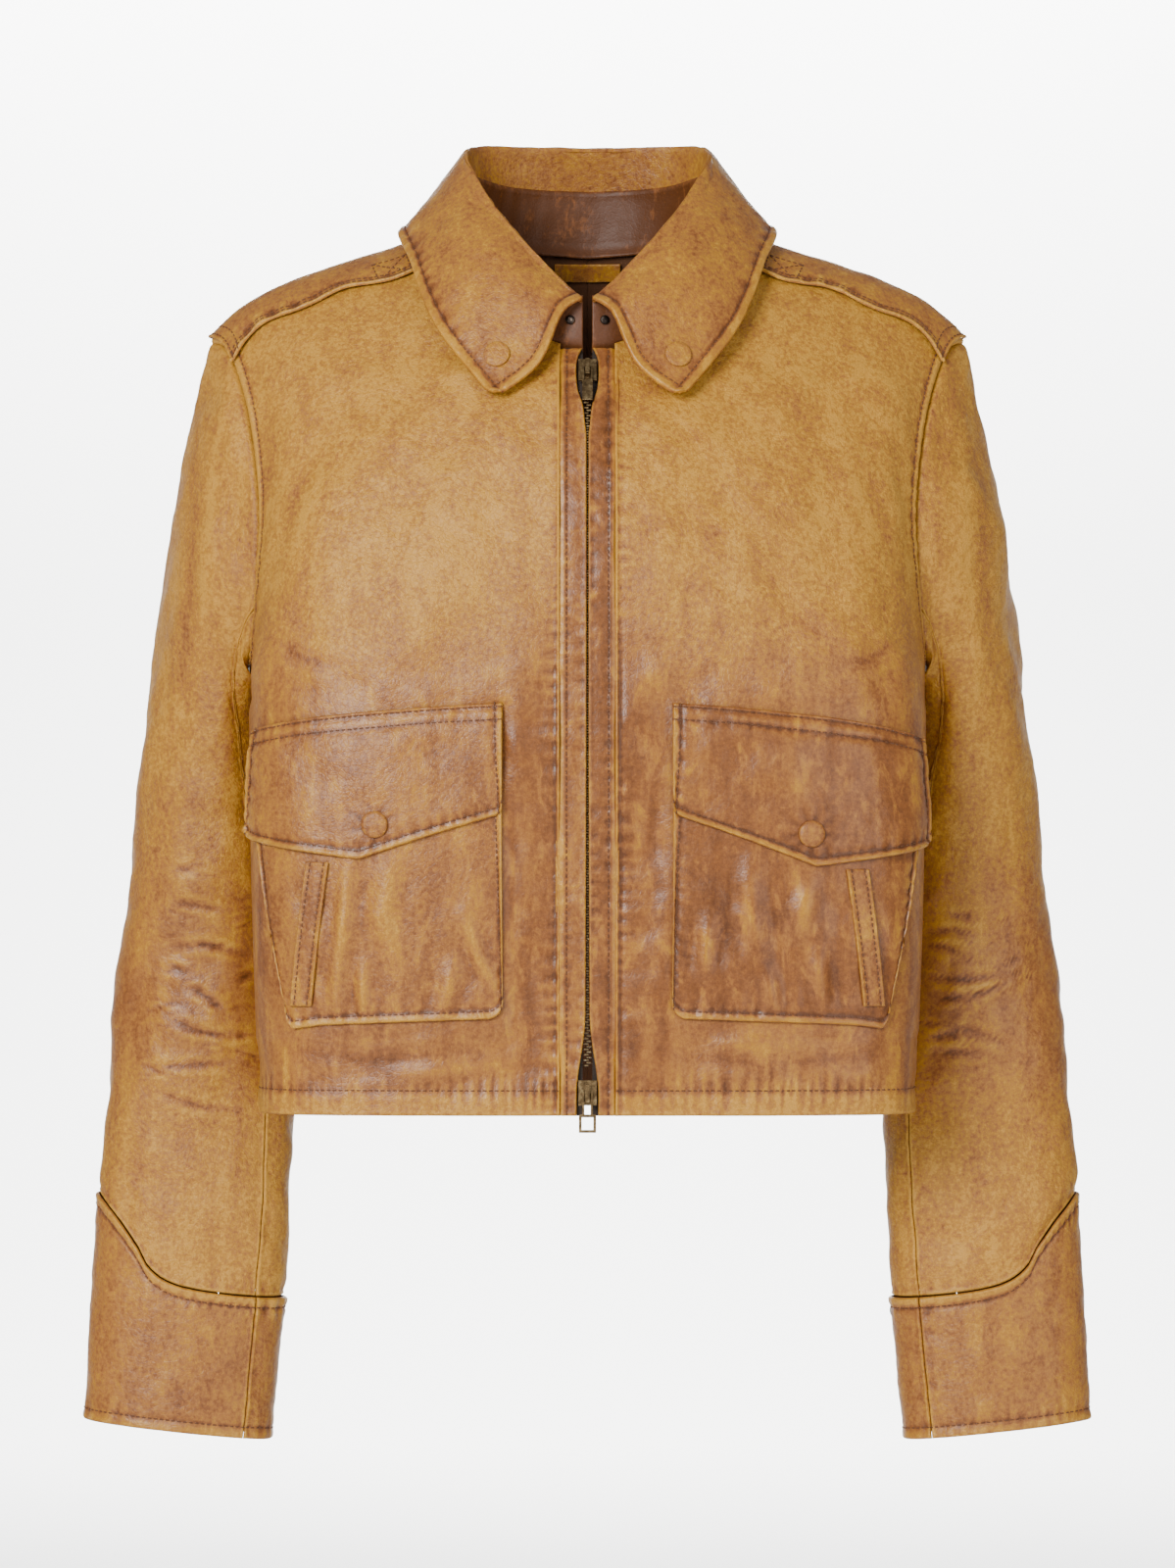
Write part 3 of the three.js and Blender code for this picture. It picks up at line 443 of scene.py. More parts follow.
def through(pairs):
    """Smooth curve through (position, value) pairs."""
    x, y = np.array(pairs, float).T
    low = np.r_[0, np.arange(len(x) - 1)]
    high = np.r_[np.arange(1, len(x)), len(x) - 1]
    slope = (y[high] - y[low]) / (x[high] - x[low])

    def value(at):
        at = np.clip(at, x[0], x[-1])
        i = np.clip(np.searchsorted(x, at) - 1, 0, len(x) - 2)
        span = x[i + 1] - x[i]
        return hermite((at - x[i]) / span, y[i], y[i + 1], span * slope[i], span * slope[i + 1])

    return value


def path(stations):
    """Smooth path through (position, x, y, z) stations."""
    axes = [through([(s[0], s[k]) for s in stations]) for k in (1, 2, 3)]
    return lambda at: np.stack([axis(at) for axis in axes], -1)


def points_at(places, lengths, points):
    """Points of a polyline at places along its length."""
    return np.stack([np.interp(places, lengths, points[:, k]) for k in range(3)], -1)


def along(points):
    """Point at a fraction of a polyline's length."""
    lengths = reach(points, 0)
    return lambda fraction: points_at(fraction * lengths[-1], lengths, points)


def ease(t):
    return t * t * (3 - 2 * t)


def step_up(low, high, value):
    """Smooth step from 0 at low to 1 at high."""
    return ease(np.clip((value - low) / (high - low), 0, 1))


def window(value, rise, fall):
    """1 between a rising and a falling span, 0 outside them."""
    return step_up(*rise, value) * (1 - step_up(*fall, value))


def near(distance, width):
    """1 at an edge, falling to 0 at a width from it."""
    return 1 - step_up(0, width, distance)


def bell(value, width):
    return np.exp(-((value / width) ** 2))


def mix(a, b, t):
    return a + (b - a) * t


def unit(vectors):
    return vectors / np.maximum(np.linalg.norm(vectors, axis=-1, keepdims=True), TINY)


def sided(points, sign):
    """Points or normals of the wearer's left side, mirrored for the right."""
    return points * (sign, 1, 1)


# Torso
half_width = through([(-500, 184), (-470, 186), (-380, 189), (-300, 190.5), (-249, 192)])
widest_y = through([(-500, -50), (-400, -52), (-340, -50), (-290, -38), (-249, -18)])
front_y = through([
    (-500, -118), (-400, -122), (-300, -124), (-249, -123.5),
    (-200, -121), (-150, -114), (-110, -101), (-70, -78),
])
back_y = through([
    (-500, 90), (-350, 93), (-249, 97), (-170, 99), (-100, 92), (-60, 81), (-30, 69), (-7, 58),
])
shoulder_z = through([(71, 0), (110, -12), (164, -29), (189, -40), (204, -51), (216, -63)])
zip_gap = through([
    (-500, 6), (-482, 5.6), (-462, 3.2), (-440, 2), (-116, 1.5),
    (-104, 2.6), (-94, 5.6), (-78, 5.6), (-70, 2),
])
neck_z = through([(0, -71), (20, -65), (45, -42), (70, -15), (90, 0), (110, 1), (140, -4), (180, -7)])
armhole_keys = np.array([
    (216, 2, -63), (205, -15, -70), (193, -37, -106), (186, -52, -155), (186.5, -53, -195), (190, -43, -234),
    (192, -18, -249), (191, 19, -237), (187, 46, -198), (187, 53, -155), (195, 40, -106), (206, 18, -70),
], float)


def armhole(degrees):
    """Armhole seam round the wearer's left arm, from the shoulder tip down the front."""
    place = np.asarray(degrees, float) % 360 / 360 * len(armhole_keys)
    i = np.floor(place).astype(int)
    t = (place - i)[..., None]
    before, start, end, after = (armhole_keys[(i + k) % len(armhole_keys)] for k in (-1, 0, 1, 2))
    return hermite(t, start, end, (end - before) / 2, (after - start) / 2)


def neck(degrees):
    """Neck seam, by degrees from the front round the wearer's left."""
    turn = np.radians(degrees)
    y = NECK_CENTRE_Y - NECK_HALF_DEPTH * np.cos(turn)
    return np.stack([NECK_HALF_WIDTH * np.sin(turn), y, neck_z(degrees)], -1)


def section(angle, z):
    """Torso section: 0 at the front centre, half pi at the widest line, pi at the back centre."""
    cosine = np.cos(angle)
    ahead = cosine > 0
    power = 2 / np.where(ahead, FRONT_POWER, BACK_POWER)
    depth = np.where(ahead, widest_y(z) - front_y(z), back_y(z) - widest_y(z))
    x = half_width(z) * np.abs(np.sin(angle)) ** power
    y = widest_y(z) - np.sign(cosine) * depth * np.abs(cosine) ** power
    return np.stack([x, y, np.full_like(x, z)], -1)


def angle_at(y, z):
    """Angle of the section where it passes a depth."""
    ahead = y < widest_y(z)
    depth = widest_y(z) - front_y(z) if ahead else back_y(z) - widest_y(z)
    cosine = (abs(y - widest_y(z)) / depth) ** ((FRONT_POWER if ahead else BACK_POWER) / 2)
    return np.arccos(cosine if ahead else -cosine)


def front_row(z, end_y=SIDE_SEAM_Y):
    start = np.arcsin((PANEL_EDGE_X / half_width(z)) ** (FRONT_POWER / 2))
    return along(section(np.linspace(start, angle_at(end_y, z), SECTION_POINTS), z))


def back_row(z, end_y=SIDE_SEAM_Y):
    return along(section(np.linspace(np.pi, angle_at(end_y, z), SECTION_POINTS), z))


shoulder_x = np.linspace(NECK_HALF_WIDTH, SHOULDER_TIP[0], SHOULDER_POINTS)
shoulder_y = np.linspace(NECK_CENTRE_Y, SHOULDER_TIP[1], SHOULDER_POINTS)
shoulder_seam = along(np.stack([shoulder_x, shoulder_y, shoulder_z(shoulder_x)], -1))
neck_start = np.degrees(np.arcsin(PANEL_EDGE_X / NECK_HALF_WIDTH))


def front_centre(v):
    if v < FRONT_NECK_SHARE:
        z = mix(UNDERARM_Z, neck_z(neck_start), v / FRONT_NECK_SHARE)
        return np.array([PANEL_EDGE_X, front_y(z), z])
    return neck(mix(neck_start, 90, (v - FRONT_NECK_SHARE) / (1 - FRONT_NECK_SHARE)))


def back_centre(v):
    if v < BACK_NECK_SHARE:
        z = mix(UNDERARM_Z, neck_z(180), v / BACK_NECK_SHARE)
        return np.array([0, back_y(z), z])
    return neck(mix(180, 90, (v - BACK_NECK_SHARE) / (1 - BACK_NECK_SHARE)))


def upper_row(low, start, end, v, u):
    """Row between the underarm section and the shoulder seam, from a start point to an end point."""
    b = ease(v)
    a = ease(u)[:, None]
    row = low(u) * (1 - b) + shoulder_seam(u) * b + start * (1 - a) + end * a
    row -= low(0) * (1 - a) * (1 - b) + low(1) * a * (1 - b)
    return row - shoulder_seam(0) * (1 - a) * b - shoulder_seam(1) * a * b


def front_upper(v, u):
    low = front_row(UNDERARM_Z, armhole(180 - min(180 * v, ARMHOLE_WIDEST))[1])
    return upper_row(low, front_centre(v), armhole(180 - 180 * v), v, u)


def back_upper(v, u):
    low = back_row(UNDERARM_Z, armhole(180 + min(180 * v, ARMHOLE_WIDEST))[1])
    return upper_row(low, back_centre(v), armhole(180 + 180 * v), v, u)


# Sleeves
sleeve_outer = path([
    (0, 216, 0, -63), (0.06, 222, 0, -89), (0.14, 230.5, 0, -130), (0.24, 241, 0, -188),
    (0.36, 250.5, 0, -255), (0.5, 260.5, 0, -338), (0.64, 269.5, 0, -420), (0.78, 277.5, 0, -506),
    (0.9, 283, 0, -590), (1, 288, 0, -680.6),
])
sleeve_inner = path([
    (0, 192, 0, -249), (0.06, 195.5, 0, -254), (0.14, 197, 0, -266), (0.24, 195, 0, -292),
    (0.36, 187, 0, -335), (0.5, 176, 0, -395), (0.64, 170.5, 0, -458), (0.78, 170, 0, -528),
    (0.9, 175, 0, -606), (1, 183.5, 0, -692),
])
sleeve_middle = through([(0, -1), (0.14, 8), (0.24, 18), (0.36, 28), (0.5, 33), (0.64, 33), (1, 27)])
sleeve_depth = through([
    (0, 53), (0.14, 50), (0.24, 47), (0.36, 44), (0.5, 41), (0.64, 37), (0.78, 32), (1, 27),
])
cuff_top_z = through([
    (0, -550), (20, -554), (43, -565.6), (60, -581), (67, -591), (80, -600), (99, -605.6), (141, -609.6),
    (180, -610), (225, -609), (255, -600), (300, -570), (340, -552), (360, -550),
])


def rounded(value):
    return np.sign(value) * np.abs(value) ** (2 / SLEEVE_POWER)


def sleeve_ring(degrees, t):
    across = rounded(np.cos(np.radians(degrees)))[..., None]
    outer = sleeve_outer(t)
    inner = sleeve_inner(t)
    point = (outer + inner) / 2 + (outer - inner) * across / 2
    point[..., 1] = sleeve_middle(t) - sleeve_depth(t) * rounded(np.sin(np.radians(degrees)))
    return point


def sleeve(degrees, t):
    """Sleeve of the wearer's left arm: 0 degrees at the outer edge, 90 at the front."""
    degrees, t = np.broadcast_arrays(np.asarray(degrees, float), np.asarray(t, float))
    left = np.maximum(0, 1 - t / ARMHOLE_BLEND) ** 2
    seat = armhole(degrees) - sleeve_ring(degrees, np.zeros_like(t))
    return sleeve_ring(degrees, t) + seat * left[..., None]


def cuff_start(degrees):
    """Share of the sleeve's length where the cuff's top seam runs."""
    low = np.full_like(degrees, CUFF_SEARCH_START)
    high = np.ones_like(degrees)
    for _ in range(HALVINGS):
        middle = (low + high) / 2
        above = sleeve(degrees, middle)[..., 2] > cuff_top_z(degrees % 360)
        low = np.where(above, middle, low)
        high = np.where(above, high, middle)
    return low


# Neck band and collar
neck_turn = through([
    (0, NECK_GAP_ANGLE), (0.15, 17), (0.27, 32), (0.38, 52), (0.5, 86), (0.7, 122), (0.85, 152), (1, 180),
])
band_height = through([(0, 24), (0.5, 26), (1, 29)])
roll_line = path([
    (0, 2.6, -82, -44), (0.15, 20, -68, -27), (0.27, 37, -57, -8), (0.38, 54, -38, 14),
    (0.5, 68.5, -8, 41), (0.7, 62, 27, 51), (0.85, 35, 44, 52), (1, 0, 48, 52),
])
leaf_edge = path([
    (0, 52.5, -103, -101.5), (0.15, 81, -80, -66), (0.27, 93, -62, -43), (0.38, 101, -40, -20),
    (0.5, 108, -8, -2), (0.7, 92, 46, 0), (0.85, 50, 63, -7), (1, 0, 71, -10),
])
upper_rise = path([
    (0, -5, 0, 10.5), (0.15, 0, -6, 7), (0.38, -1, -3, 4), (0.5, -1, 0, 1), (0.7, 2, 3, 3), (1, 0, 6, 6),
])
lower_rise = path([
    (0, -8, -2, 0), (0.15, 2, -5, 3), (0.38, 0, -3, 2), (0.5, -1, 0, 1), (0.7, 2, 3, 1), (1, 0, 3, 1),
])


def band_point(s, rise, lean=None):
    low = neck(neck_turn(s))
    centre = np.array([0, NECK_CENTRE_Y, 0])
    inward = (centre - low) * (1, 1, 0)
    inward = unit(inward)
    lean = BAND_LEAN * rise if lean is None else lean
    up = np.zeros_like(low)
    up[..., 2] = BAND_GAP + band_height(s) * rise
    return low + inward * lean + up


def collar_profile(s):
    """Points of the collar's profile from the band over the roll to the leaf's edge."""
    roll = roll_line(s)
    edge = leaf_edge(s)
    base = band_point(s, 1.0, COLLAR_LEAN)
    base[..., 2] += COLLAR_GAP
    upper = mix(roll, edge, LEAF_SHARES[0]) + upper_rise(s)
    lower = mix(roll, edge, LEAF_SHARES[1]) + lower_rise(s)
    return np.stack([base, (base + roll) / 2, roll, upper, lower, edge])


def centripetal(keys, t):
    """Centripetal curve through the keys, at shares of its length in keys."""
    ahead = 2 * keys[0] - keys[1]
    behind = 2 * keys[-1] - keys[-2]
    keys = np.concatenate([ahead[None], keys, behind[None]])
    place = t * (len(keys) - 3)
    i = min(int(place), len(keys) - 4)
    w = place - i
    p0, p1, p2, p3 = keys[i:i + 4]
    spans = ((p0, p1), (p1, p2), (p2, p3))
    d0, d1, d2 = (np.linalg.norm(b - a, axis=-1, keepdims=True) ** 0.5 for a, b in spans)
    start = ((p1 - p0) / d0 - (p2 - p0) / (d0 + d1) + (p2 - p1) / d1) * d1
    end = ((p2 - p1) / d1 - (p3 - p1) / (d1 + d2) + (p3 - p2) / d2) * d1
    return hermite(w, p1, p2, start, end)


def collar_point(s, t):
    return centripetal(collar_profile(s), t)


# Grids
def between(grid, rows, columns):
    """Values of a grid at fractional rows and columns."""
    rows, columns = np.broadcast_arrays(np.asarray(rows, float), np.asarray(columns, float))
    r = np.clip(np.floor(rows).astype(int), 0, grid.shape[0] - 2)
    c = np.clip(np.floor(columns).astype(int), 0, grid.shape[1] - 2)
    y = (rows - r)[..., None]
    x = (columns - c)[..., None]
    low = grid[r, c] * (1 - x) + grid[r, c + 1] * x
    high = grid[r + 1, c] * (1 - x) + grid[r + 1, c + 1] * x
    return low * (1 - y) + high * y


def normals_of(grid, outside):
    normals = unit(np.cross(np.gradient(grid, axis=1), np.gradient(grid, axis=0)))
    middle = normals[grid.shape[0] // 2, grid.shape[1] // 2]
    return normals if middle @ np.array(outside) > 0 else -normals


def smoothed(grid, passes):
    """The grid with its inner points eased, its outline kept."""
    grid = grid.copy()
    for _ in range(passes):
        mean = (grid[:-2, 1:-1] + grid[2:, 1:-1] + grid[1:-1, :-2] + grid[1:-1, 2:]) / 4
        grid[1:-1, 1:-1] = (grid[1:-1, 1:-1] + mean) / 2
    return grid


def knots(count):
    """Grid places from 0 to count, with closer ones at both ends for the rounded edges."""
    return np.r_[EDGE_KNOTS, np.arange(1, count), count - EDGE_KNOTS[::-1]]


class Cloth:
    """A piece of leather on a surface: points, normals, distances from its four edges and its relief."""

    def __init__(self, points, normals, thickness):
        self.points = points
        self.normals = normals
        self.thickness = thickness
        self.left = reach(points, 1)
        self.right = self.left[:, -1:] - self.left
        self.low = reach(points, 0)
        self.high = self.low[-1:] - self.low
        self.relief = np.zeros(points.shape[:2])
        self.bulge = np.zeros(points.shape[:2])
        self.brown = np.zeros(points.shape[:2])
        self.thread = []

    @property
    def x(self):
        return self.points[..., 0]

    @property
    def z(self):
        return self.points[..., 2]

    @property
    def nearest(self):
        """Distance from the nearest edge."""
        return np.minimum(np.minimum(self.left, self.right), np.minimum(self.low, self.high))

    def raised(self, height):
        return self.points + self.normals * (self.bulge + self.relief + height)[..., None]

    def edge_drop(self):
        """How far the rounded edge falls away, near each edge."""
        radius = self.thickness / 2
        inside = 1 - np.clip(self.nearest / radius, 0, 1)
        return EDGE_FALL * radius * (1 - np.sqrt(1 - inside**2))

    def edge_wear(self):
        """How far the dye is rubbed off along the edges, in patches."""
        patches = EDGE_WEAR_SHARE + EDGE_WEAR_CHANGE * waves(self.points, EDGE_WEAR_SIZE, EDGE_WEAR_SEED)
        return EDGE_WEAR * patches * bell(self.nearest, EDGE_WEAR_REACH)

    def round_corner(self, side, end, radius):
        """Rounds the corner between a side edge and an end edge."""
        from_side = np.clip(radius - getattr(self, side), 0, radius)
        from_end = np.clip(radius - getattr(self, end), 0, radius)
        inward = {"left": 1, "right": -1, "low": 1, "high": -1}
        across = unit(np.gradient(self.points, axis=1)) * inward[side]
        onward = unit(np.gradient(self.points, axis=0)) * inward[end]
        move_in = from_side * (1 - np.sqrt(1 - from_end**2 / (2 * radius**2)))
        move_on = from_end * (1 - np.sqrt(1 - from_side**2 / (2 * radius**2)))
        self.points = self.points + across * move_in[..., None] + onward * move_on[..., None]

    def seam(self, edge, stitch, kind, seed, where=1.0):
        """Turned and stitched edge: a raised lip, a pressed stitch groove and puckers across it."""
        lip, groove, pucker, length, spread = SEAMS[kind]
        distance = getattr(self, edge)
        run = self.low if edge in ("left", "right") else self.left
        wander = sum(height * np.sin(run / span + turn * seed) for height, span, turn in SEAM_WANDER)
        ridge = lip * step_up(0, LIP_RISE, distance)
        ridge *= 1 - step_up(stitch - LIP_FALL[0], stitch - LIP_FALL[1], distance)
        press = -groove * bell(distance - stitch, GROOVE_WIDTH)
        change = np.sin(run / PUCKER_CHANGE_LENGTH + PUCKER_CHANGE_TURN * seed)
        folds = pucker * (PUCKER_STRENGTH + PUCKER_CHANGE * change)
        folds *= np.sin(2 * np.pi * (run + wander) / length)
        folds *= bell(distance - stitch, spread) * step_up(0, PUCKER_EDGE, distance)
        # the relief is painted as well: pale on the lip, darker in the groove and pucker hollows as painted
        # shade
        self.relief += where * (ridge + press + folds)

    def rumple(self, kind, seed, where=1.0, stretch=(1, 1, 1)):
        """Layers of soft waves, each with a seed of its own."""
        for k, (height, size) in enumerate(RUMPLES[kind]):
            self.bulge += where * height * waves(self.points * stretch, size, seed + k)

    def stitch(self, edge, distance, start=0.0, end=1.0):
        """Row of thread at a distance from an edge, between two shares of the edge's length."""
        lengths = getattr(self, edge)
        by_rows = edge in ("left", "right")
        lines = lengths if by_rows else lengths.T
        falling = edge in ("right", "high")
        places = np.arange(lines.shape[1])
        cross = np.array([
            np.interp(distance, line[::-1], places[::-1]) if falling else np.interp(distance, line, places)
            for line in lines
        ])
        run = np.arange(len(lines))
        keep = (run >= start * (len(run) - 1)) & (run <= end * (len(run) - 1))
        rows, columns = (run[keep], cross[keep]) if by_rows else (cross[keep], run[keep])
        self.thread.append((rows, columns))

    def sewn(self, top):
        """Lines of points and normals for the thread on the outer face."""
        face = self.raised(top)
        lines = []
        for rows, columns in self.thread:
            normals = between(self.normals, rows, columns)
            lines.append((between(face, rows, columns) + normals * STITCH_LIFT, normals))
        return lines

    def crease(self, stroke, width, depth, front=True, worn=1.0):
        """Soft trough along a stroke of (x, z) points in the front view, with light shoulders beside it."""
        line = np.array(stroke, float)
        best = np.full(self.points.shape[:2], np.inf)
        share = np.zeros_like(best)
        spots = self.points[..., [0, 2]]
        for k in range(len(line) - 1):
            span = line[k + 1] - line[k]
            t = np.clip(((spots - line[k]) @ span) / (span @ span), 0, 1)
            distance = np.linalg.norm(spots - line[k] - t[..., None] * span, axis=-1)
            closer = distance < best
            best = np.where(closer, distance, best)
            share = np.where(closer, (k + t) / (len(line) - 1), share)
        taper = np.sqrt(np.clip(np.sin(np.pi * np.clip(share, *CREASE_ENDS)), 0, 1))
        side = -self.normals[..., 1] if front else self.normals[..., 1]
        shoulders = CREASE_SHOULDER * bell(best - CREASE_SHOULDER_AT * width, width)
        hollow = depth * taper * step_up(*CREASE_FACING, side) * (shoulders - bell(best, width))
        # the worn share goes into the relief, which is also painted: rubbed pale where it rises, darker as
        # painted shade where it sinks
        self.relief += worn * hollow
        self.bulge += (1 - worn) * hollow


def waves(points, size, seed):
    """Smooth even noise from -1 to 1 with features of about the given size."""
    random = np.random.default_rng(seed)
    directions = unit(random.normal(size=(WAVE_COUNT, 3)))
    lengths = size * random.uniform(*WAVE_LENGTHS, WAVE_COUNT)
    phases = random.uniform(0, 2 * np.pi, WAVE_COUNT)
    total = sum(np.sin(points @ d * (2 * np.pi / s) + p) for d, s, p in zip(directions, lengths, phases))
    return total / np.sqrt(WAVE_COUNT)


# Meshes
def quads(index):
    return np.stack([index[:-1, :-1], index[:-1, 1:], index[1:, 1:], index[1:, :-1]], -1).reshape(-1, 4)


def shell_faces(rows, columns, open_rows=0):
    """Faces of a closed wall between two grids, its first column left open for some rows."""
    index = np.arange(rows * columns).reshape(rows, columns)
    half = rows * columns
    loops = [index[0], index[:, -1], index[-1, ::-1], index[open_rows:, 0][::-1]]
    rims = [np.stack([line[1:], line[:-1], line[:-1] + half, line[1:] + half], -1) for line in loops]
    return np.concatenate([quads(index), quads(index)[:, ::-1] + half, *rims])


def mesh_object(name, points, faces, values=None, smooth=True):
    """Object from points in millimetres, with values as float attributes of its points."""
    mesh = bpy.data.meshes.new(name)
    mesh.from_pydata((np.asarray(points) * MM).tolist(), [], np.asarray(faces).tolist())
    mesh.polygons.foreach_set("use_smooth", np.full(len(mesh.polygons), smooth))
    for key, value in (values or {}).items():
        attribute = mesh.attributes.new(key, "FLOAT", "POINT")
        attribute.data.foreach_set("value", np.asarray(value, np.float32).ravel())
    mesh.update()
    obj = bpy.data.objects.new(name, mesh)
    bpy.context.scene.collection.objects.link(obj)
    return obj


def capsules(lines):
    """Points and faces of short thread stitches along lines of points and normals."""
    half = STITCH_LENGTH / 2
    turns = np.linspace(0, 2 * np.pi, STITCH_SIDES, endpoint=False)
    ring = np.stack([np.cos(turns), np.sin(turns)], -1) * STITCH_RADIUS
    local = [(-half, 0, 0)]
    local += [(k * half * STITCH_SHOULDER, side, up) for k in (-1, 1) for side, up in ring]
    local = np.array(local + [(half, 0, 0)])
    tip = len(local) - 1
    faces = []
    for k in range(STITCH_SIDES):
        first = 1 + k
        after = 1 + (k + 1) % STITCH_SIDES
        far = first + STITCH_SIDES
        far_after = after + STITCH_SIDES
        faces += [(0, after, first), (first, after, far), (after, far_after, far), (far, far_after, tip)]
    spots = []
    tangents = []
    ups = []
    for points, normals in lines:
        lengths = reach(points, 0)
        places = np.arange(STITCH_PITCH / 2, lengths[-1], STITCH_PITCH)
        behind = points_at(places - STITCH_LOOK, lengths, points)
        ahead = points_at(places + STITCH_LOOK, lengths, points)
        spots.append(points_at(places, lengths, points))
        tangents.append(ahead - behind)
        ups.append(points_at(places, lengths, normals))
    spots, tangents, ups = (np.concatenate(group) for group in (spots, tangents, ups))
    tangents = unit(tangents)
    sides = unit(np.cross(ups, tangents))
    axes = np.stack([tangents, sides, np.cross(tangents, sides)], 1)
    points = spots[:, None] + np.einsum("lk,nkj->nlj", local, axes)
    offsets = np.arange(len(spots))[:, None, None] * len(local)
    return points.reshape(-1, 3), (np.array(faces)[None] + offsets).reshape(-1, 3)


# Materials
def link(tree, value, socket):
    """Connects a node's output to a socket, or sets the socket to a plain value."""
    if isinstance(value, bpy.types.NodeSocket):
        tree.links.new(value, socket)
    else:
        socket.default_value = value


def math_node(tree, operation, a, b=0.0, clamp=False):
    node = tree.nodes.new("ShaderNodeMath")
    node.operation = operation
    node.use_clamp = clamp
    link(tree, a, node.inputs[0])
    link(tree, b, node.inputs[1])
    return node.outputs[0]


def weighted(tree, *terms):
    """Sum of (value, weight, middle) terms, each as weight times (value minus middle)."""
    total = 0.0
    for value, weight, middle in terms:
        shifted = math_node(tree, "SUBTRACT", value, middle)
        total = math_node(tree, "ADD", total, math_node(tree, "MULTIPLY", shifted, weight))
    return total


def ramp(tree, value, stops):
    node = tree.nodes.new("ShaderNodeValToRGB")
    elements = node.color_ramp.elements
    while len(elements) < len(stops):
        elements.new(0.5)
    for element, (place, colour) in zip(elements, stops):
        element.position = place
        element.color = colour
    link(tree, value, node.inputs[0])
    return node.outputs[0]


def mapped(tree, value, span, to=(0.0, 1.0)):
    """A value's place in a span, carried over to another span."""
    node = tree.nodes.new("ShaderNodeMapRange")
    for socket, number in zip(node.inputs[1:5], (*span, *to)):
        socket.default_value = number
    link(tree, value, node.inputs[0])
    return node.outputs[0]


def mix_colour(tree, share, a, b, blend="MIX"):
    node = tree.nodes.new("ShaderNodeMix")
    node.data_type = "RGBA"
    node.blend_type = blend
    link(tree, share, node.inputs[0])
    link(tree, a, node.inputs[6])
    link(tree, b, node.inputs[7])
    return node.outputs[2]


def coordinates(tree, stretch=(1, 1, 1)):
    place = tree.nodes.new("ShaderNodeTexCoord").outputs["Object"]
    node = tree.nodes.new("ShaderNodeMapping")
    node.inputs["Scale"].default_value = stretch
    tree.links.new(place, node.inputs["Vector"])
    return node.outputs["Vector"]


def noise(tree, scale, detail=4.0, roughness=0.55, distortion=0.0, stretch=(1, 1, 1)):
    node = tree.nodes.new("ShaderNodeTexNoise")
    tree.links.new(coordinates(tree, stretch), node.inputs["Vector"])
    settings = {"Scale": scale, "Detail": detail, "Roughness": roughness, "Distortion": distortion}
    for key, value in settings.items():
        node.inputs[key].default_value = value
    return node.outputs["Fac"]


def cells(tree, scale, feature="F1", jitter=1.0):
    node = tree.nodes.new("ShaderNodeTexVoronoi")
    node.feature = feature
    tree.links.new(coordinates(tree), node.inputs["Vector"])
    node.inputs["Scale"].default_value = scale
    node.inputs["Randomness"].default_value = jitter
    return node.outputs["Distance"]


def attribute(tree, name):
    node = tree.nodes.new("ShaderNodeAttribute")
    node.attribute_name = name
    return node.outputs["Fac"]


def bump(tree, height, distance, strength=1.0, before=None):
    node = tree.nodes.new("ShaderNodeBump")
    node.inputs["Distance"].default_value = distance
    node.inputs["Strength"].default_value = strength
    tree.links.new(height, node.inputs["Height"])
    if before is not None:
        tree.links.new(before, node.inputs["Normal"])
    return node.outputs["Normal"]


def new_material(name):
    material = bpy.data.materials.new(name)
    material.use_nodes = True
    shader = material.node_tree.nodes["Principled BSDF"]
    return material, material.node_tree, shader


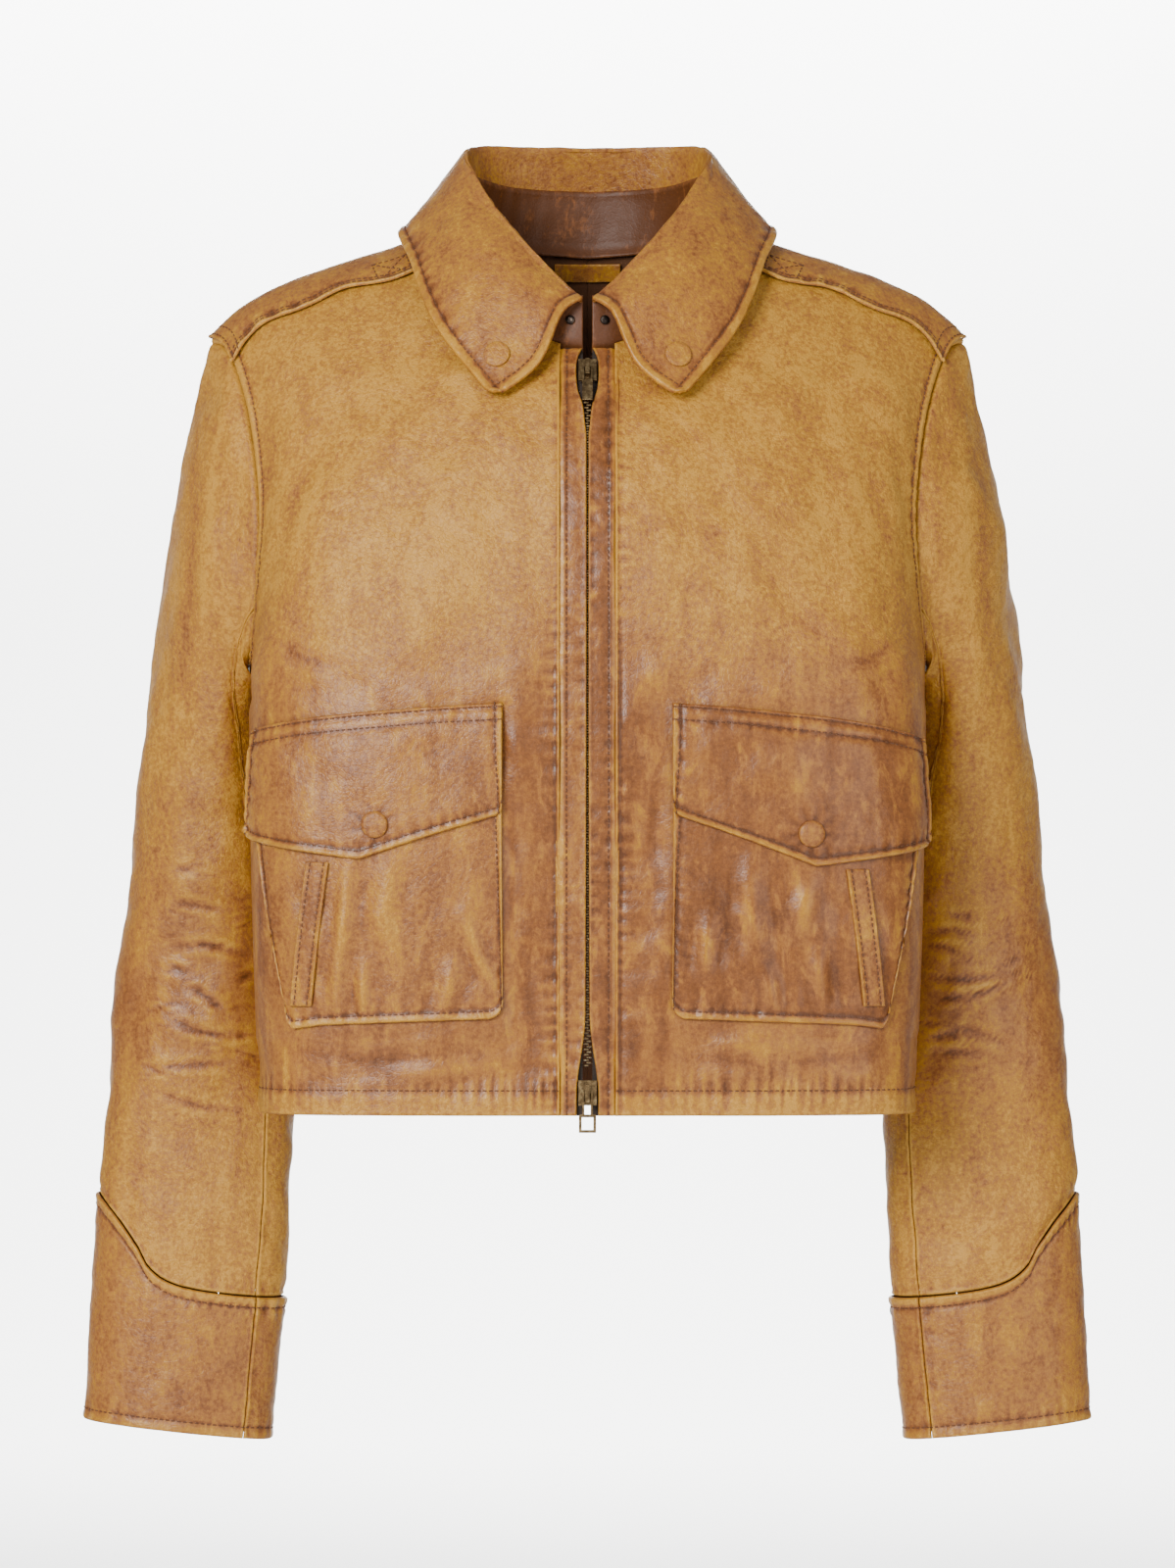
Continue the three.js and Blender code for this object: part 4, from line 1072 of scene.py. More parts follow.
def leather_material():
    """Waxed leather: golden where it is rubbed, brown where the dye has stayed, pale on ridges, darker in
    grooves and crease troughs as painted shade.
    """
    material, tree, shader = new_material("waxed_leather")
    brown = attribute(tree, "brown")
    relief = attribute(tree, "relief")
    inside = attribute(tree, "inside")
    clouds = noise(tree, scale=16, detail=5, roughness=0.62, distortion=0.6)
    mottle = noise(tree, scale=75, detail=5, roughness=0.6, distortion=0.4)
    streaks = noise(tree, scale=20, detail=4, roughness=0.6, distortion=0.3, stretch=(3.2, 3.2, 0.7))
    specks = noise(tree, scale=420, detail=3, roughness=0.6)
    scuffs = noise(tree, scale=88, detail=6, roughness=0.68, distortion=0.5, stretch=(1.3, 1.3, 0.55))
    scuffed = mapped(tree, scuffs, SCUFFED)
    stained = mapped(tree, scuffs, STAINED)
    pores = cells(tree, scale=1150)
    cracks = cells(tree, scale=330, feature="DISTANCE_TO_EDGE")
    rubbed = mapped(tree, relief, RUBBED)
    # darker where the relief sinks into grooves, crease troughs and hollows: painted shade
    painted_shade = mapped(tree, relief, PAINTED_SHADE_SPAN)
    smooth = mapped(tree, brown, SMOOTH)
    waxed = math_node(tree, "MULTIPLY", smooth, mapped(tree, brown, WAXED))
    share = TONE_SHARES
    freckled = weighted(tree, (mottle, share["mottle"], NOISE_MEAN), (specks, share["specks"], NOISE_MEAN))
    freckled = math_node(tree, "MULTIPLY", freckled, mapped(tree, smooth, (0.0, 1.0), SMOOTH_FRECKLES))
    worn = math_node(tree, "MULTIPLY", scuffed, mapped(tree, smooth, (0.0, 1.0), SMOOTH_SCUFFS))
    tone = weighted(
        tree, (brown, 1.0, 0.0), (clouds, share["clouds"], NOISE_MEAN),
        (streaks, share["streaks"], NOISE_MEAN), (freckled, 1.0, 0.0), (worn, -1.0, 0.0),
        (stained, share["stained"], 0.0), (rubbed, share["rubbed"], 0.0), (painted_shade, share["painted_shade"], 0.0),
    )
    colour = ramp(tree, tone, LEATHER_STOPS)
    colour = mix_colour(tree, 1.0, colour, mapped(tree, pores, PORE_SPAN, PORE_SHADE), "MULTIPLY")
    flesh = mix_colour(tree, mottle, FLESH_SIDE, DARK_BROWN)
    colour = mix_colour(tree, inside, colour, flesh)
    tree.links.new(colour, shader.inputs["Base Color"])
    share = POLISH_SHARES
    polish = weighted(
        tree, (waxed, share["waxed"], 0.0), (mottle, share["mottle"], NOISE_MEAN),
        (rubbed, share["rubbed"], 0.0), (inside, share["inside"], 0.0),
    )
    rough = math_node(tree, "ADD", polish, LEATHER_ROUGHNESS, clamp=True)
    tree.links.new(rough, shader.inputs["Roughness"])
    flattened = mapped(tree, smooth, (0.0, 1.0), SMOOTH_BUMPS)
    pored = math_node(tree, "MULTIPLY", pores, flattened)
    fine = bump(tree, pored, distance=0.0002, strength=0.5)
    cracked = math_node(tree, "MULTIPLY", mapped(tree, cracks, CRACK_SPAN), flattened)
    creased = bump(tree, cracked, distance=0.00025, strength=0.5, before=fine)
    lumps = noise(tree, scale=110, detail=3, roughness=0.5, distortion=0.8)
    lumps = math_node(tree, "MULTIPLY", lumps, flattened)
    rumpled = bump(tree, lumps, distance=0.002, strength=0.45, before=creased)
    tree.links.new(rumpled, shader.inputs["Normal"])
    shader.inputs["Specular IOR Level"].default_value = LEATHER_SPECULAR
    return material


def thread_material():
    material, tree, shader = new_material("waxed_thread")
    twist = noise(tree, scale=900, detail=3)
    colour = ramp(tree, twist, THREAD_STOPS)
    tree.links.new(colour, shader.inputs["Base Color"])
    shader.inputs["Roughness"].default_value = 0.7
    return material


def tape_material():
    material, tree, shader = new_material("zip_tape_cloth")
    weave = noise(tree, scale=1400, detail=2, roughness=0.5, stretch=(1, 1, 2.5))
    colour = ramp(tree, weave, TAPE_STOPS)
    tree.links.new(colour, shader.inputs["Base Color"])
    tree.links.new(bump(tree, weave, distance=0.0003), shader.inputs["Normal"])
    shader.inputs["Roughness"].default_value = 0.9
    return material


def metal_material(name, stops):
    """Antique metal: dark and rubbed bright in noise patches, with fine scratches."""
    material, tree, shader = new_material(name)
    patches = noise(tree, scale=320, detail=5, roughness=0.65)
    scratches = noise(tree, scale=900, detail=3, roughness=0.6, stretch=(1, 1, 6))
    worn = weighted(tree, (patches, METAL_PATCHES, 0.0), (scratches, METAL_SCRATCHES, 0.0))
    colour = ramp(tree, mapped(tree, worn, METAL_WORN), stops)
    tree.links.new(colour, shader.inputs["Base Color"])
    tree.links.new(mapped(tree, patches, (0.0, 1.0), METAL_ROUGHNESS), shader.inputs["Roughness"])
    tree.links.new(bump(tree, scratches, distance=0.0001, strength=0.4), shader.inputs["Normal"])
    shader.inputs["Metallic"].default_value = 1.0
    return material


leather = leather_material()
thread = thread_material()
tape_cloth = tape_material()
brass = metal_material("antique_brass", BRASS_STOPS)
iron = metal_material("dark_metal", IRON_STOPS)


# Pieces
def finish_piece(obj, material, nodes, body="jacket"):
    obj.data.materials.append(material)
    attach(obj, body)
    if nodes:
        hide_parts(*nodes)


def cut_size(cloth):
    """Width, length and area of the flat cut, in metres."""
    sides = np.cross(
        cloth.points[1:, :-1] - cloth.points[:-1, :-1],
        cloth.points[:-1, 1:] - cloth.points[:-1, :-1],
    )
    area = np.linalg.norm(sides, axis=-1).sum() * MM**2
    width = cloth.left[:, -1].max() * MM
    length = cloth.low[-1].max() * MM
    return width, length, area


def weld_centre(obj):
    """Joins the two halves of a piece where they meet on the centre plane."""
    work = bmesh.new()
    work.from_mesh(obj.data)
    centre = [v for v in work.verts if abs(v.co.x) < WELD_DISTANCE]
    bmesh.ops.remove_doubles(work, verts=centre, dist=WELD_DISTANCE)
    work.to_mesh(obj.data)
    work.free()


def make_cloth(name, cloth, top=0.0, halves=1, open_rows=0, lining=1.0):
    """Shell with rounded edges and its stitches; the size of its flat cut is worked out but not used."""
    drop = cloth.edge_drop()
    outer = cloth.raised(top - drop)
    inner = cloth.raised(top - cloth.thickness + drop)
    rows, columns = cloth.points.shape[:2]
    faces = shell_faces(rows, columns, open_rows)
    points = np.concatenate([outer.reshape(-1, 3), inner.reshape(-1, 3)])
    out = cloth.normals[rows // 2, columns // 2]
    corner = outer[rows // 2:rows // 2 + 2, columns // 2:columns // 2 + 2]
    if np.cross(corner[0, 1] - corner[0, 0], corner[1, 0] - corner[0, 0]) @ out < 0:
        faces = faces[:, ::-1]
    plain = np.zeros(rows * columns)
    cloth.brown = cloth.brown - cloth.edge_wear()
    values = {
        "brown": np.r_[cloth.brown.ravel(), np.maximum(cloth.brown.ravel(), lining)],
        "relief": np.r_[cloth.relief.ravel(), plain],
        "inside": np.r_[plain, plain + lining],
    }
    lines = cloth.sewn(top)
    if halves == 2:
        faces = np.concatenate([faces, faces[:, ::-1] + len(points)])
        points = np.concatenate([points, sided(points, -1)])
        values = {key: np.r_[value, value] for key, value in values.items()}
        lines += [(sided(spots, -1), sided(normals, -1)) for spots, normals in lines]
    obj = mesh_object(f"{name}_leather", points, faces, values)
    if halves == 2:
        weld_centre(obj)
    finish_piece(obj, leather, [name])
    if lines:
        sewn = mesh_object(f"{name}_stitches", *capsules(lines))
        finish_piece(sewn, thread, [])
    width, length, area = cut_size(cloth)
    width *= halves
    area = min(area * halves, width * length)


def on_grid(grid, outside, thickness, sign=1):
    """Piece of leather over a whole grid, with close rows and columns at its edges."""
    rows = knots(grid.shape[0] - 1)[:, None]
    columns = knots(grid.shape[1] - 1)[None]
    points = between(grid, rows, columns)
    normals = between(normals_of(grid, outside), rows, columns)
    return Cloth(sided(points, sign), sided(normals, sign), thickness)


def edge_tone(piece, distance):
    """Brown that a kind of piece gains along an edge."""
    extra, width = EDGE_TONES[piece]
    return extra * near(distance, width)


# Front and back panels
def panel_grid(lower_row, upper, columns):
    share = np.linspace(0, SEAM_TRIM, columns + 1)
    rows = [lower_row(z)(share) for z in np.linspace(HEM_Z, UNDERARM_Z, LOWER_COUNT + 1)]
    rows += [upper(v, share) for v in np.linspace(0, SHOULDER_TRIM, UPPER_COUNT + 1)[1:]]
    return smoothed(np.array(rows), PANEL_EASE)


front_grid = panel_grid(front_row, front_upper, FRONT_COUNT)
front_normals = normals_of(front_grid, FRONT_OUTSIDE)
back_grid = panel_grid(back_row, back_upper, BACK_COUNT)

# Creases in the front view: strokes of (x, z), width and depth
front_creases = {
    "right": [
        ([(-150, -128), (-166, -160), (-172, -200)], 5, 0.35),
        ([(-176, -232), (-160, -246), (-138, -250)], 4, 0.4),
        ([(-45, -300), (-42, -350), (-46, -400)], 5, 0.35),
        ([(-176, -462), (-120, -470), (-60, -464)], 5, 0.4),
        ([(-150, -478), (-90, -482), (-40, -476)], 3.5, 0.25),
        ([(-36, -410), (-30, -450), (-34, -480)], 4, 0.3),
    ],
    "left": [
        ([(150, -128), (166, -160), (172, -200)], 5, 0.35),
        ([(176, -232), (160, -246), (138, -250)], 4, 0.4),
        ([(42, -290), (36, -340), (42, -400)], 5, 0.4),
        ([(40, -464), (100, -472), (170, -466)], 5, 0.4),
        ([(36, -424), (44, -452), (36, -482)], 4, 0.3),
        ([(60, -482), (110, -478), (160, -484)], 3.5, 0.25),
    ],
}
back_creases = [
    ([(60, -176), (92, -170), (130, -190)], 9, 0.3),
    ([(78, -352), (112, -346), (150, -330)], 10, 0.35),
    ([(96, -428), (124, -424), (158, -410)], 9, 0.3),
    ([(150, -120), (160, -170), (166, -220)], 7, 0.5),
]


def body_tone(cloth):
    """Golden chest that turns brown from the pockets down."""
    lower = LOWER_TONE * step_up(*LOWER_TONE_Z, cloth.z)
    centre = CENTRE_TONE * (1 - step_up(*CENTRE_TONE_X, np.abs(cloth.x))) * step_up(*CENTRE_TONE_Z, cloth.z)
    seams = edge_tone("panel", np.minimum(cloth.right, cloth.high))
    return TONES["chest"] + lower + centre + seams - HEM_RUB * (1 - step_up(*HEM_RUB_REACH, cloth.low))


def sew_panel(panel, quiet, seam_seed, rumple_seed):
    """Hem, armhole edge, rumples, tone and stitches that the fronts and the back share."""
    rows = np.arange(len(panel.points))[:, None]
    upper = step_up(LOWER_COUNT, LOWER_COUNT + ARMHOLE_EASE_ROWS, rows)
    quiet = quiet * step_up(0, ARMHOLE_CALM, panel.right)
    panel.seam("low", HEM_STITCH, "hem", seed=seam_seed)
    panel.seam("right", ARMHOLE_STITCH, "armhole", seed=seam_seed + 2, where=upper)
    panel.rumple("body", seed=rumple_seed, where=quiet)
    above_hem = quiet * step_up(0, HEM_CALM, panel.low)
    panel.rumple("body_sway", seed=rumple_seed + 2, where=above_hem)
    panel.bulge -= SEAM_TURN * upper * near(panel.right, SEAM_TURN_REACH)
    panel.brown += body_tone(panel)
    panel.stitch("low", HEM_STITCH)
    first_stitch = LOWER_COUNT / len(rows) + ARMHOLE_STITCH_START
    panel.stitch("right", ARMHOLE_STITCH, first_stitch, ARMHOLE_STITCH_END)
    return upper


for side, sign in SIDES.items():
    front = on_grid(front_grid, FRONT_OUTSIDE, LEATHER, sign)
    open_leather = 1 - window(np.abs(front.x), *POCKET_AREA_X) * window(front.z, *POCKET_AREA_Z)
    quiet = open_leather * (1 - NECK_CALM * step_up(*FRONT_NECK_CALM_Z, front.z))
    upper = sew_panel(front, quiet, sign, FRONT_RUMPLE_SEED)
    front.seam("right", SIDE_STITCH, "side", seed=sign + 4, where=(1 - upper) * open_leather)
    below_neck = 1 - step_up(*ZIP_EDGE_END_Z, front.z)
    front.seam("left", ZIP_EDGE_STITCH, "zip_edge", seed=sign + 1, where=below_neck)
    for stroke, width, depth in front_creases[side]:
        front.crease(stroke, width, depth)
    front.relief *= np.where(front.relief > 0, np.maximum(open_leather, UNDER_POCKET_RELIEF), 1)
    make_cloth(f"front_{side}", front)

back = on_grid(back_grid, BACK_OUTSIDE, LEATHER)
centre_rows = int(np.argmax(back.x[:, 0] > CENTRE_X))
back.normals[:centre_rows, 0, 0] = 0
quiet = (1 - NECK_CALM * step_up(*BACK_NECK_CALM_Z, back.z)) * step_up(0, BACK_CENTRE_CALM, np.abs(back.x))
sew_panel(back, quiet, BACK_SEAM_SEED, BACK_RUMPLE_SEED)
for stroke, width, depth in back_creases:
    back.crease(stroke, width, depth, front=False)
back.brown += TONES["back"]
make_cloth("back", back, halves=2, open_rows=centre_rows - 1)

# Pockets, with folds of the bag as strokes of (x, z) and a width
pocket_sides = {
    "right": {
        "drop": 15.3, "outer_depth": 58.7, "point": -357.5, "snap": (116.5, -339),
        "brown": 0.53, "flap_brown": 0.48,
        "folds": [
            ([(-131, -355), (-134, -388), (-138, -425), (-138, -445)], 4.0),
            ([(-125, -415), (-123, -446)], 3.5),
            ([(-69, -388), (-60, -412), (-50, -431)], 3.5),
            ([(-74, -416), (-82, -446)], 4.5),
            ([(-109, -360), (-113, -388), (-103, -418)], 6.0),
        ],
    },
    "left": {
        "drop": 20.3, "outer_depth": 58.2, "point": -361.5, "snap": (122.5, -342.5),
        "brown": 0.74, "flap_brown": 0.62,
        "folds": [
            ([(91, -361), (87, -388), (97, -406)], 6.0),
            ([(122, -370), (118, -399)], 5.0),
            ([(67, -390), (64, -421)], 4.0),
            ([(127, -410), (130, -441)], 4.5),
            ([(100, -420), (103, -445)], 4.5),
        ],
    },
}


def front_place(arc, z):
    """Rows and columns of the front's grid at an arc length and a height."""
    rows = (z - HEM_Z) / (UNDERARM_Z - HEM_Z) * LOWER_COUNT
    return rows, arc / FRONT_WIDTH * FRONT_COUNT


def layer(arc, z, thickness, sign):
    rows, columns = front_place(arc, z)
    normals = unit(between(front_normals, rows, columns))
    return Cloth(sided(between(front_grid, rows, columns), sign), sided(normals, sign), thickness)


def corner_inset(distance, radius):
    """How far a rounded corner draws an edge in, at a distance from the corner's end."""
    left = np.clip(radius - distance, 0, radius)
    return radius - np.sqrt(radius**2 - left**2)


def arc_at_x(x, z):
    """Arc length where the front's grid passes a distance from the centre, at a height."""
    arcs = np.linspace(0, POCKET_ARCS[-1], ARC_POINTS)
    rows, columns = front_place(arcs, z)
    return np.interp(x, between(front_grid, rows, columns)[:, 0], arcs)


def make_cap(name, seat, normal, radius, height, material, slot, brown=0.0):
    """Round cap turned about a normal, from shares of its radius and height."""
    up = unit(normal)
    side = unit(np.cross(up, UP))
    across = np.cross(up, side)
    turns = np.linspace(0, 2 * np.pi, CAP_STEPS, endpoint=False)
    ring = np.cos(turns)[:, None] * side + np.sin(turns)[:, None] * across
    rings = [seat + ring * r * radius + up * h * height for r, h in CAP_PROFILE]
    points = np.concatenate([[seat], *rings, [seat + up * height]])
    index = 1 + np.arange(len(CAP_PROFILE) * CAP_STEPS).reshape(len(CAP_PROFILE), CAP_STEPS)
    after = np.roll(index, -1, axis=1)
    top = np.full(CAP_STEPS, len(points) - 1)
    triples = [
        (index[:-1], after[:-1], after[1:]),
        (index[:-1], after[1:], index[1:]),
        (index[-1], after[-1], top),
        (after[0], index[0], np.zeros_like(top)),
    ]
    faces = np.concatenate([np.stack(triple, -1).reshape(-1, 3) for triple in triples])
    plain = np.zeros(len(points))
    values = {"brown": plain + brown, "relief": plain, "inside": plain}
    obj = mesh_object(f"{name}_cap", points, faces, values)
    finish_piece(obj, material, [name])


def spread(count):
    """Shares from 0 to 1 that lie closer at both ends."""
    return knots(count) / count


def make_pocket(side, sign):
    shape = pocket_sides[side]

    def flap_top(c):
        return FLAP_INNER_TOP - shape["drop"] * (c / POCKET_LAST) ** FLAP_BOW

    def flap_bottom(c):
        outer = flap_top(POCKET_LAST) - shape["outer_depth"]
        return np.interp(c, [0, POINT_SHARE, POCKET_LAST], [FLAP_INNER_BOTTOM, shape["point"], outer])

    def bag_top(c):
        return flap_top(c) - BAG_BELOW_FLAP_TOP

    def bag_bottom(c):
        return mix(BAG_BOTTOM_INNER, BAG_BOTTOM_OUTER, c / POCKET_LAST)

    def bag_share(z, c):
        return (bag_top(c) - z) / (bag_top(c) - bag_bottom(c))

    def dome(share, c):
        return np.sin(np.pi * np.clip(share, 0, 1)) * np.sin(np.pi * c / POCKET_LAST)

    arcs = mix(POCKET_ARCS[0], POCKET_ARCS[-1], spread(FLAP_COLUMNS))[None]
    c = np.interp(arcs, POCKET_ARCS, np.arange(len(POCKET_ARCS)))
    from_inner = arcs - POCKET_ARCS[0]
    from_outer = POCKET_ARCS[-1] - arcs

    down = 1 - spread(BAG_ROWS)[:, None]
    narrowing = (POCKET_ARCS[-1] - BAG_OUTER_ARC) / (POCKET_ARCS[-1] - BAG_SQUARE_ARC)
    past = np.maximum(arcs - BAG_SQUARE_ARC, 0)
    corners = corner_inset(from_inner, BAG_CORNERS[0]) + corner_inset(from_outer, BAG_CORNERS[1])
    bag = layer(arcs - past * narrowing * down, mix(bag_top(c), bag_bottom(c) + corners, down), LEATHER, sign)
    bag.bulge += BAG_GAP + BAG_BULGE * dome(down, c)
    for edge in ("left", "right", "low"):
        bag.seam(edge, POCKET_STITCH, "bag", seed=sign + len(edge))
        bag.stitch(edge, POCKET_STITCH)
    below_flap = step_up(*BELOW_FLAP, down) * dome(down, c)
    bag.rumple("bag_folds", seed=25, where=below_flap, stretch=FOLD_STRETCH)
    bag.rumple("bag", seed=21, where=below_flap)
    bag.rumple("bag_fine", seed=22)
    for stroke, width in shape["folds"]:
        bag.crease(stroke, width, -POCKET_FOLD, worn=POCKET_FOLD_RUB_AND_SHADE)
    # bag lighter in the middle of its dome: painted highlight
    bag.brown += shape["brown"] - BAG_PAINTED_HIGHLIGHT * dome(down, c)
    make_cloth(f"pocket_{side}", bag, top=LEATHER)

    rise = spread(FLAP_ROWS)[:, None]
    corners = corner_inset(from_inner, FLAP_CORNER) + corner_inset(from_outer, FLAP_CORNER)
    heights = mix(flap_bottom(c) + corners, flap_top(c), rise)
    share = bag_share(heights, c)
    over_bag = BAG_GAP + LEATHER + LAYER_GAP
    flap = layer(arcs, heights, TURNED_LEATHER, sign)
    flap.bulge += mix(LAYER_GAP, over_bag, step_up(*OVER_BAG, share)) + BAG_BULGE * dome(share, c)
    for edge in ("left", "right", "low"):
        flap.seam(edge, FLAP_STITCH, "flap", seed=sign + 2 * len(edge))
        flap.stitch(edge, FLAP_STITCH)
    for distance in FLAP_TOP_STITCHES:
        flap.seam("high", distance, "flap_top", seed=sign + distance)
        flap.stitch("high", distance)
    snap_x, snap_z = shape["snap"]
    rows, columns = front_place(arc_at_x(snap_x, snap_z), snap_z)
    normal = sided(between(front_normals, rows, columns), sign)
    seat = sided(between(front_grid, rows, columns), sign)
    away = flap.points - seat
    distance = np.linalg.norm(away, axis=-1)
    turn = np.arctan2(away[..., 2], away[..., 0])
    flap.relief -= DIMPLE_DEPTH * bell(distance, DIMPLE_REACH)
    ring = bell(distance - DIMPLE_REACH, DIMPLE_FOLD_WIDTH)
    flap.relief += DIMPLE_FOLD * ring * np.sin(DIMPLE_FOLDS * turn)
    calm = step_up(SNAP_RADIUS, DIMPLE_CALM * SNAP_RADIUS, distance)
    flap.rumple("flap", seed=23, where=calm)
    flap.brown += shape["flap_brown"] + edge_tone("flap", np.minimum(flap.low, flap.high))
    make_cloth(f"flap_{side}", flap, top=TURNED_LEATHER)
    nearest = np.unravel_index(np.argmin(distance), distance.shape)
    seat = flap.raised(TURNED_LEATHER + LAYER_GAP)[nearest]
    make_cap(
        f"flap_snap_{side}", seat, normal, SNAP_RADIUS, SNAP_HEIGHT,
        leather, "leather_brown", TONES["flap_snap"],
    )

    up = spread(WELT_ROWS)[:, None]
    top_z = shape["point"] - WELT_BELOW_FLAP
    ends = arc_at_x(WELT_BOTTOM_X, WELT_BOTTOM_Z), arc_at_x(WELT_TOP_X, top_z)
    heights = mix(WELT_BOTTOM_Z, top_z, up)
    across = WELT_HALF_WIDTH * (2 * spread(WELT_COLUMNS)[None] - 1)
    welt = layer(mix(*ends, up) + across, heights, LEATHER, sign)
    welt.bulge += over_bag + LAYER_GAP + BAG_BULGE * dome(bag_share(heights, WELT_SHARE), WELT_SHARE)
    for edge in ("left", "right"):
        welt.seam(edge, WELT_STITCH, "welt", seed=sign + len(edge))
        welt.stitch(edge, WELT_STITCH)
    welt.brown += TONES["welt"]
    make_cloth(f"welt_{side}", welt, top=LEATHER)


for side, sign in SIDES.items():
    make_pocket(side, sign)

# Sleeves and cuffs: a top and an under piece, by degrees round the arm
sleeve_parts = {
    "top": {"from": BACK_SLEEVE_SEAM - 360, "to": FRONT_SLEEVE_SEAM, "columns": 77, "outside": (1, -0.3, 0)},
    "under": {"from": FRONT_SLEEVE_SEAM, "to": BACK_SLEEVE_SEAM, "columns": 40, "outside": (-1, 0.2, 0)},
}
pressed_line = [(223, -111), (223.7, -186), (234, -268)]
elbow_creases = {
    "right": [
        [(-239.6, -449.3), (-225.6, -455.8), (-208.8, -459.6), (-190.1, -457.7)],
        [(-238.6, -420.4), (-227.4, -426)],
        [(-230.2, -429.7), (-218.1, -437.2), (-205, -448.4)],
        [(-199.4, -427.8), (-190.1, -424.1)],
        [(-251.7, -478.2), (-227.4, -476.4), (-205, -475.4)],
        [(-244.2, -492.2), (-223.7, -499.7), (-197.6, -502.5)],
        [(-236.8, -409.2), (-218.1, -407.3), (-192, -414.8)],
        [(-234.9, -383), (-205, -388.6)],
        [(-235.8, -366.2), (-220, -360.6)],
    ],
    "left": [
        [(193.5, -401.7), (207.5, -399.5), (224.3, -402.6)],
        [(193.5, -407.3), (205.6, -409.2), (218.7, -415.7)],
        [(192.5, -426), (216.8, -427.8), (239.2, -425)],
        [(198.1, -460.5), (216.8, -455.8), (243, -465.2)],
        [(198, -468.9), (224.3, -469.8)],
        [(205.6, -390.5), (222.4, -392.4)],
        [(196.3, -437.2), (218.7, -439), (237.3, -431.6)],
    ],
}


def fine_wrinkles(sign):
    """Short slanting wrinkles across the bend of the elbow, as strokes of (x, z)."""
    random = np.random.default_rng(WRINKLE_SEED + sign)
    strokes = []
    for _ in range(WRINKLE_COUNT):
        x = random.uniform(*WRINKLE_X)
        z = random.normal(ELBOW_Z - WRINKLE_DROP, WRINKLE_SPREAD)
        half = random.uniform(*WRINKLE_LENGTHS) / 2
        slope = random.uniform(-WRINKLE_SLOPE, WRINKLE_SLOPE)
        bow = random.uniform(-WRINKLE_BOW, WRINKLE_BOW)
        strokes.append([(sign * (x + k * half), z + k * slope * half + bow * (k == 0)) for k in (-1, 0, 1)])
    return strokes


def sleeve_span(degrees):
    return SLEEVE_START, cuff_start(degrees) - CUFF_SEAM


def cuff_span(degrees):
    return cuff_start(degrees) + CUFF_SEAM, 1


def round_arm(part, rows, span, thickness, sign):
    """Leather round the arm, between two shares of the sleeve's length."""
    degrees = np.linspace(part["from"] + SEAM_ANGLE, part["to"] - SEAM_ANGLE, part["columns"] + 1)[None]
    share = np.linspace(0, 1, rows + 1)[:, None]
    grid = sleeve(degrees, mix(*span(degrees), share))
    return on_grid(grid, part["outside"], thickness, sign)


for side, sign in SIDES.items():
    for name, part in sleeve_parts.items():
        arm = round_arm(part, SLEEVE_ROWS, sleeve_span, LEATHER, sign)
        arm.seam("left", SLEEVE_STITCH, "sleeve", seed=sign)
        arm.seam("right", SLEEVE_STITCH, "sleeve", seed=sign + 2)
        arm.seam("low", SLEEVE_STITCH, "sleeve_head", seed=sign + 3)
        arm.seam("high", SLEEVE_STITCH, "sleeve_end", seed=sign + 4)
        for stroke in elbow_creases[side]:
            arm.crease(stroke, **ELBOW_CREASE)
            arm.crease(stroke, **ELBOW_BACK_CREASE)
        for stroke in fine_wrinkles(sign):
            arm.crease(stroke, **FINE_WRINKLE)
        arm.crease([(sign * x, z) for x, z in pressed_line], **PRESSED_CREASE)
        calm = step_up(0, SLEEVE_HEAD_CALM, arm.low) * step_up(0, SLEEVE_END_CALM, arm.high)
        arm.rumple("body", seed=31, where=calm)
        arm.rumple("sleeve_sway", seed=33, where=calm)
        arm.bulge -= SLEEVE_TURN * near(arm.low, SEAM_TURN_REACH)
        if name == "under":
            full = step_up(0, UNDERARM_SIDE, np.minimum(arm.left, arm.right))
            full *= step_up(0, UNDERARM_TOP, arm.low) * step_up(*UNDERARM_FULL_Z, arm.z)
            arm.bulge += UNDERARM_FULLNESS * full
        arm.brown += TONES["sleeve"] + TONES["elbow"] * bell(arm.z - ELBOW_Z, ELBOW_REACH)
        make_cloth(f"sleeve_{name}_{side}", arm)

        cuff = round_arm(part, CUFF_ROWS, cuff_span, TURNED_LEATHER, sign)
        cuff.seam("low", CUFF_SEAM_STITCH, "cuff_top", seed=sign + 5)
        cuff.seam("high", CUFF_HEM_STITCH, "cuff_hem", seed=sign + 6)
        cuff.seam("left", SLEEVE_STITCH, "cuff_side", seed=sign + 7)
        cuff.seam("right", SLEEVE_STITCH, "cuff_side", seed=sign + 8)
        cuff.rumple("cuff", seed=34)
        cuff.brown += TONES["cuff"] + edge_tone("cuff", np.minimum(cuff.low, cuff.high))
        cuff.stitch("low", CUFF_SEAM_STITCH)
        cuff.stitch("high", CUFF_HEM_STITCH)
        make_cloth(f"cuff_{name}_{side}", cuff, top=CUFF_PROUD)


# Neck band and collar, from the right front end round the back to the left front end
def round_neck(row_at, rows):
    """Grid of rows over the right half and the mirrored left half."""
    shares = np.linspace(0, 1, HALF_TURN + 1)
    halves = [row_at(shares, t) for t in np.linspace(0, 1, rows + 1)]
    return np.array([np.concatenate([sided(half, -1), half[-2::-1]]) for half in halves])


def band_sheet(s, t):
    """Band from inside the neckline up to behind the collar's base."""
    rise = mix(-BAND_UNDER, BAND_OVERLAP, t)
    lean = BAND_LEAN * rise if rise > 0 else -BAND_UNDER_LEAN * rise
    return band_point(s, rise, lean)


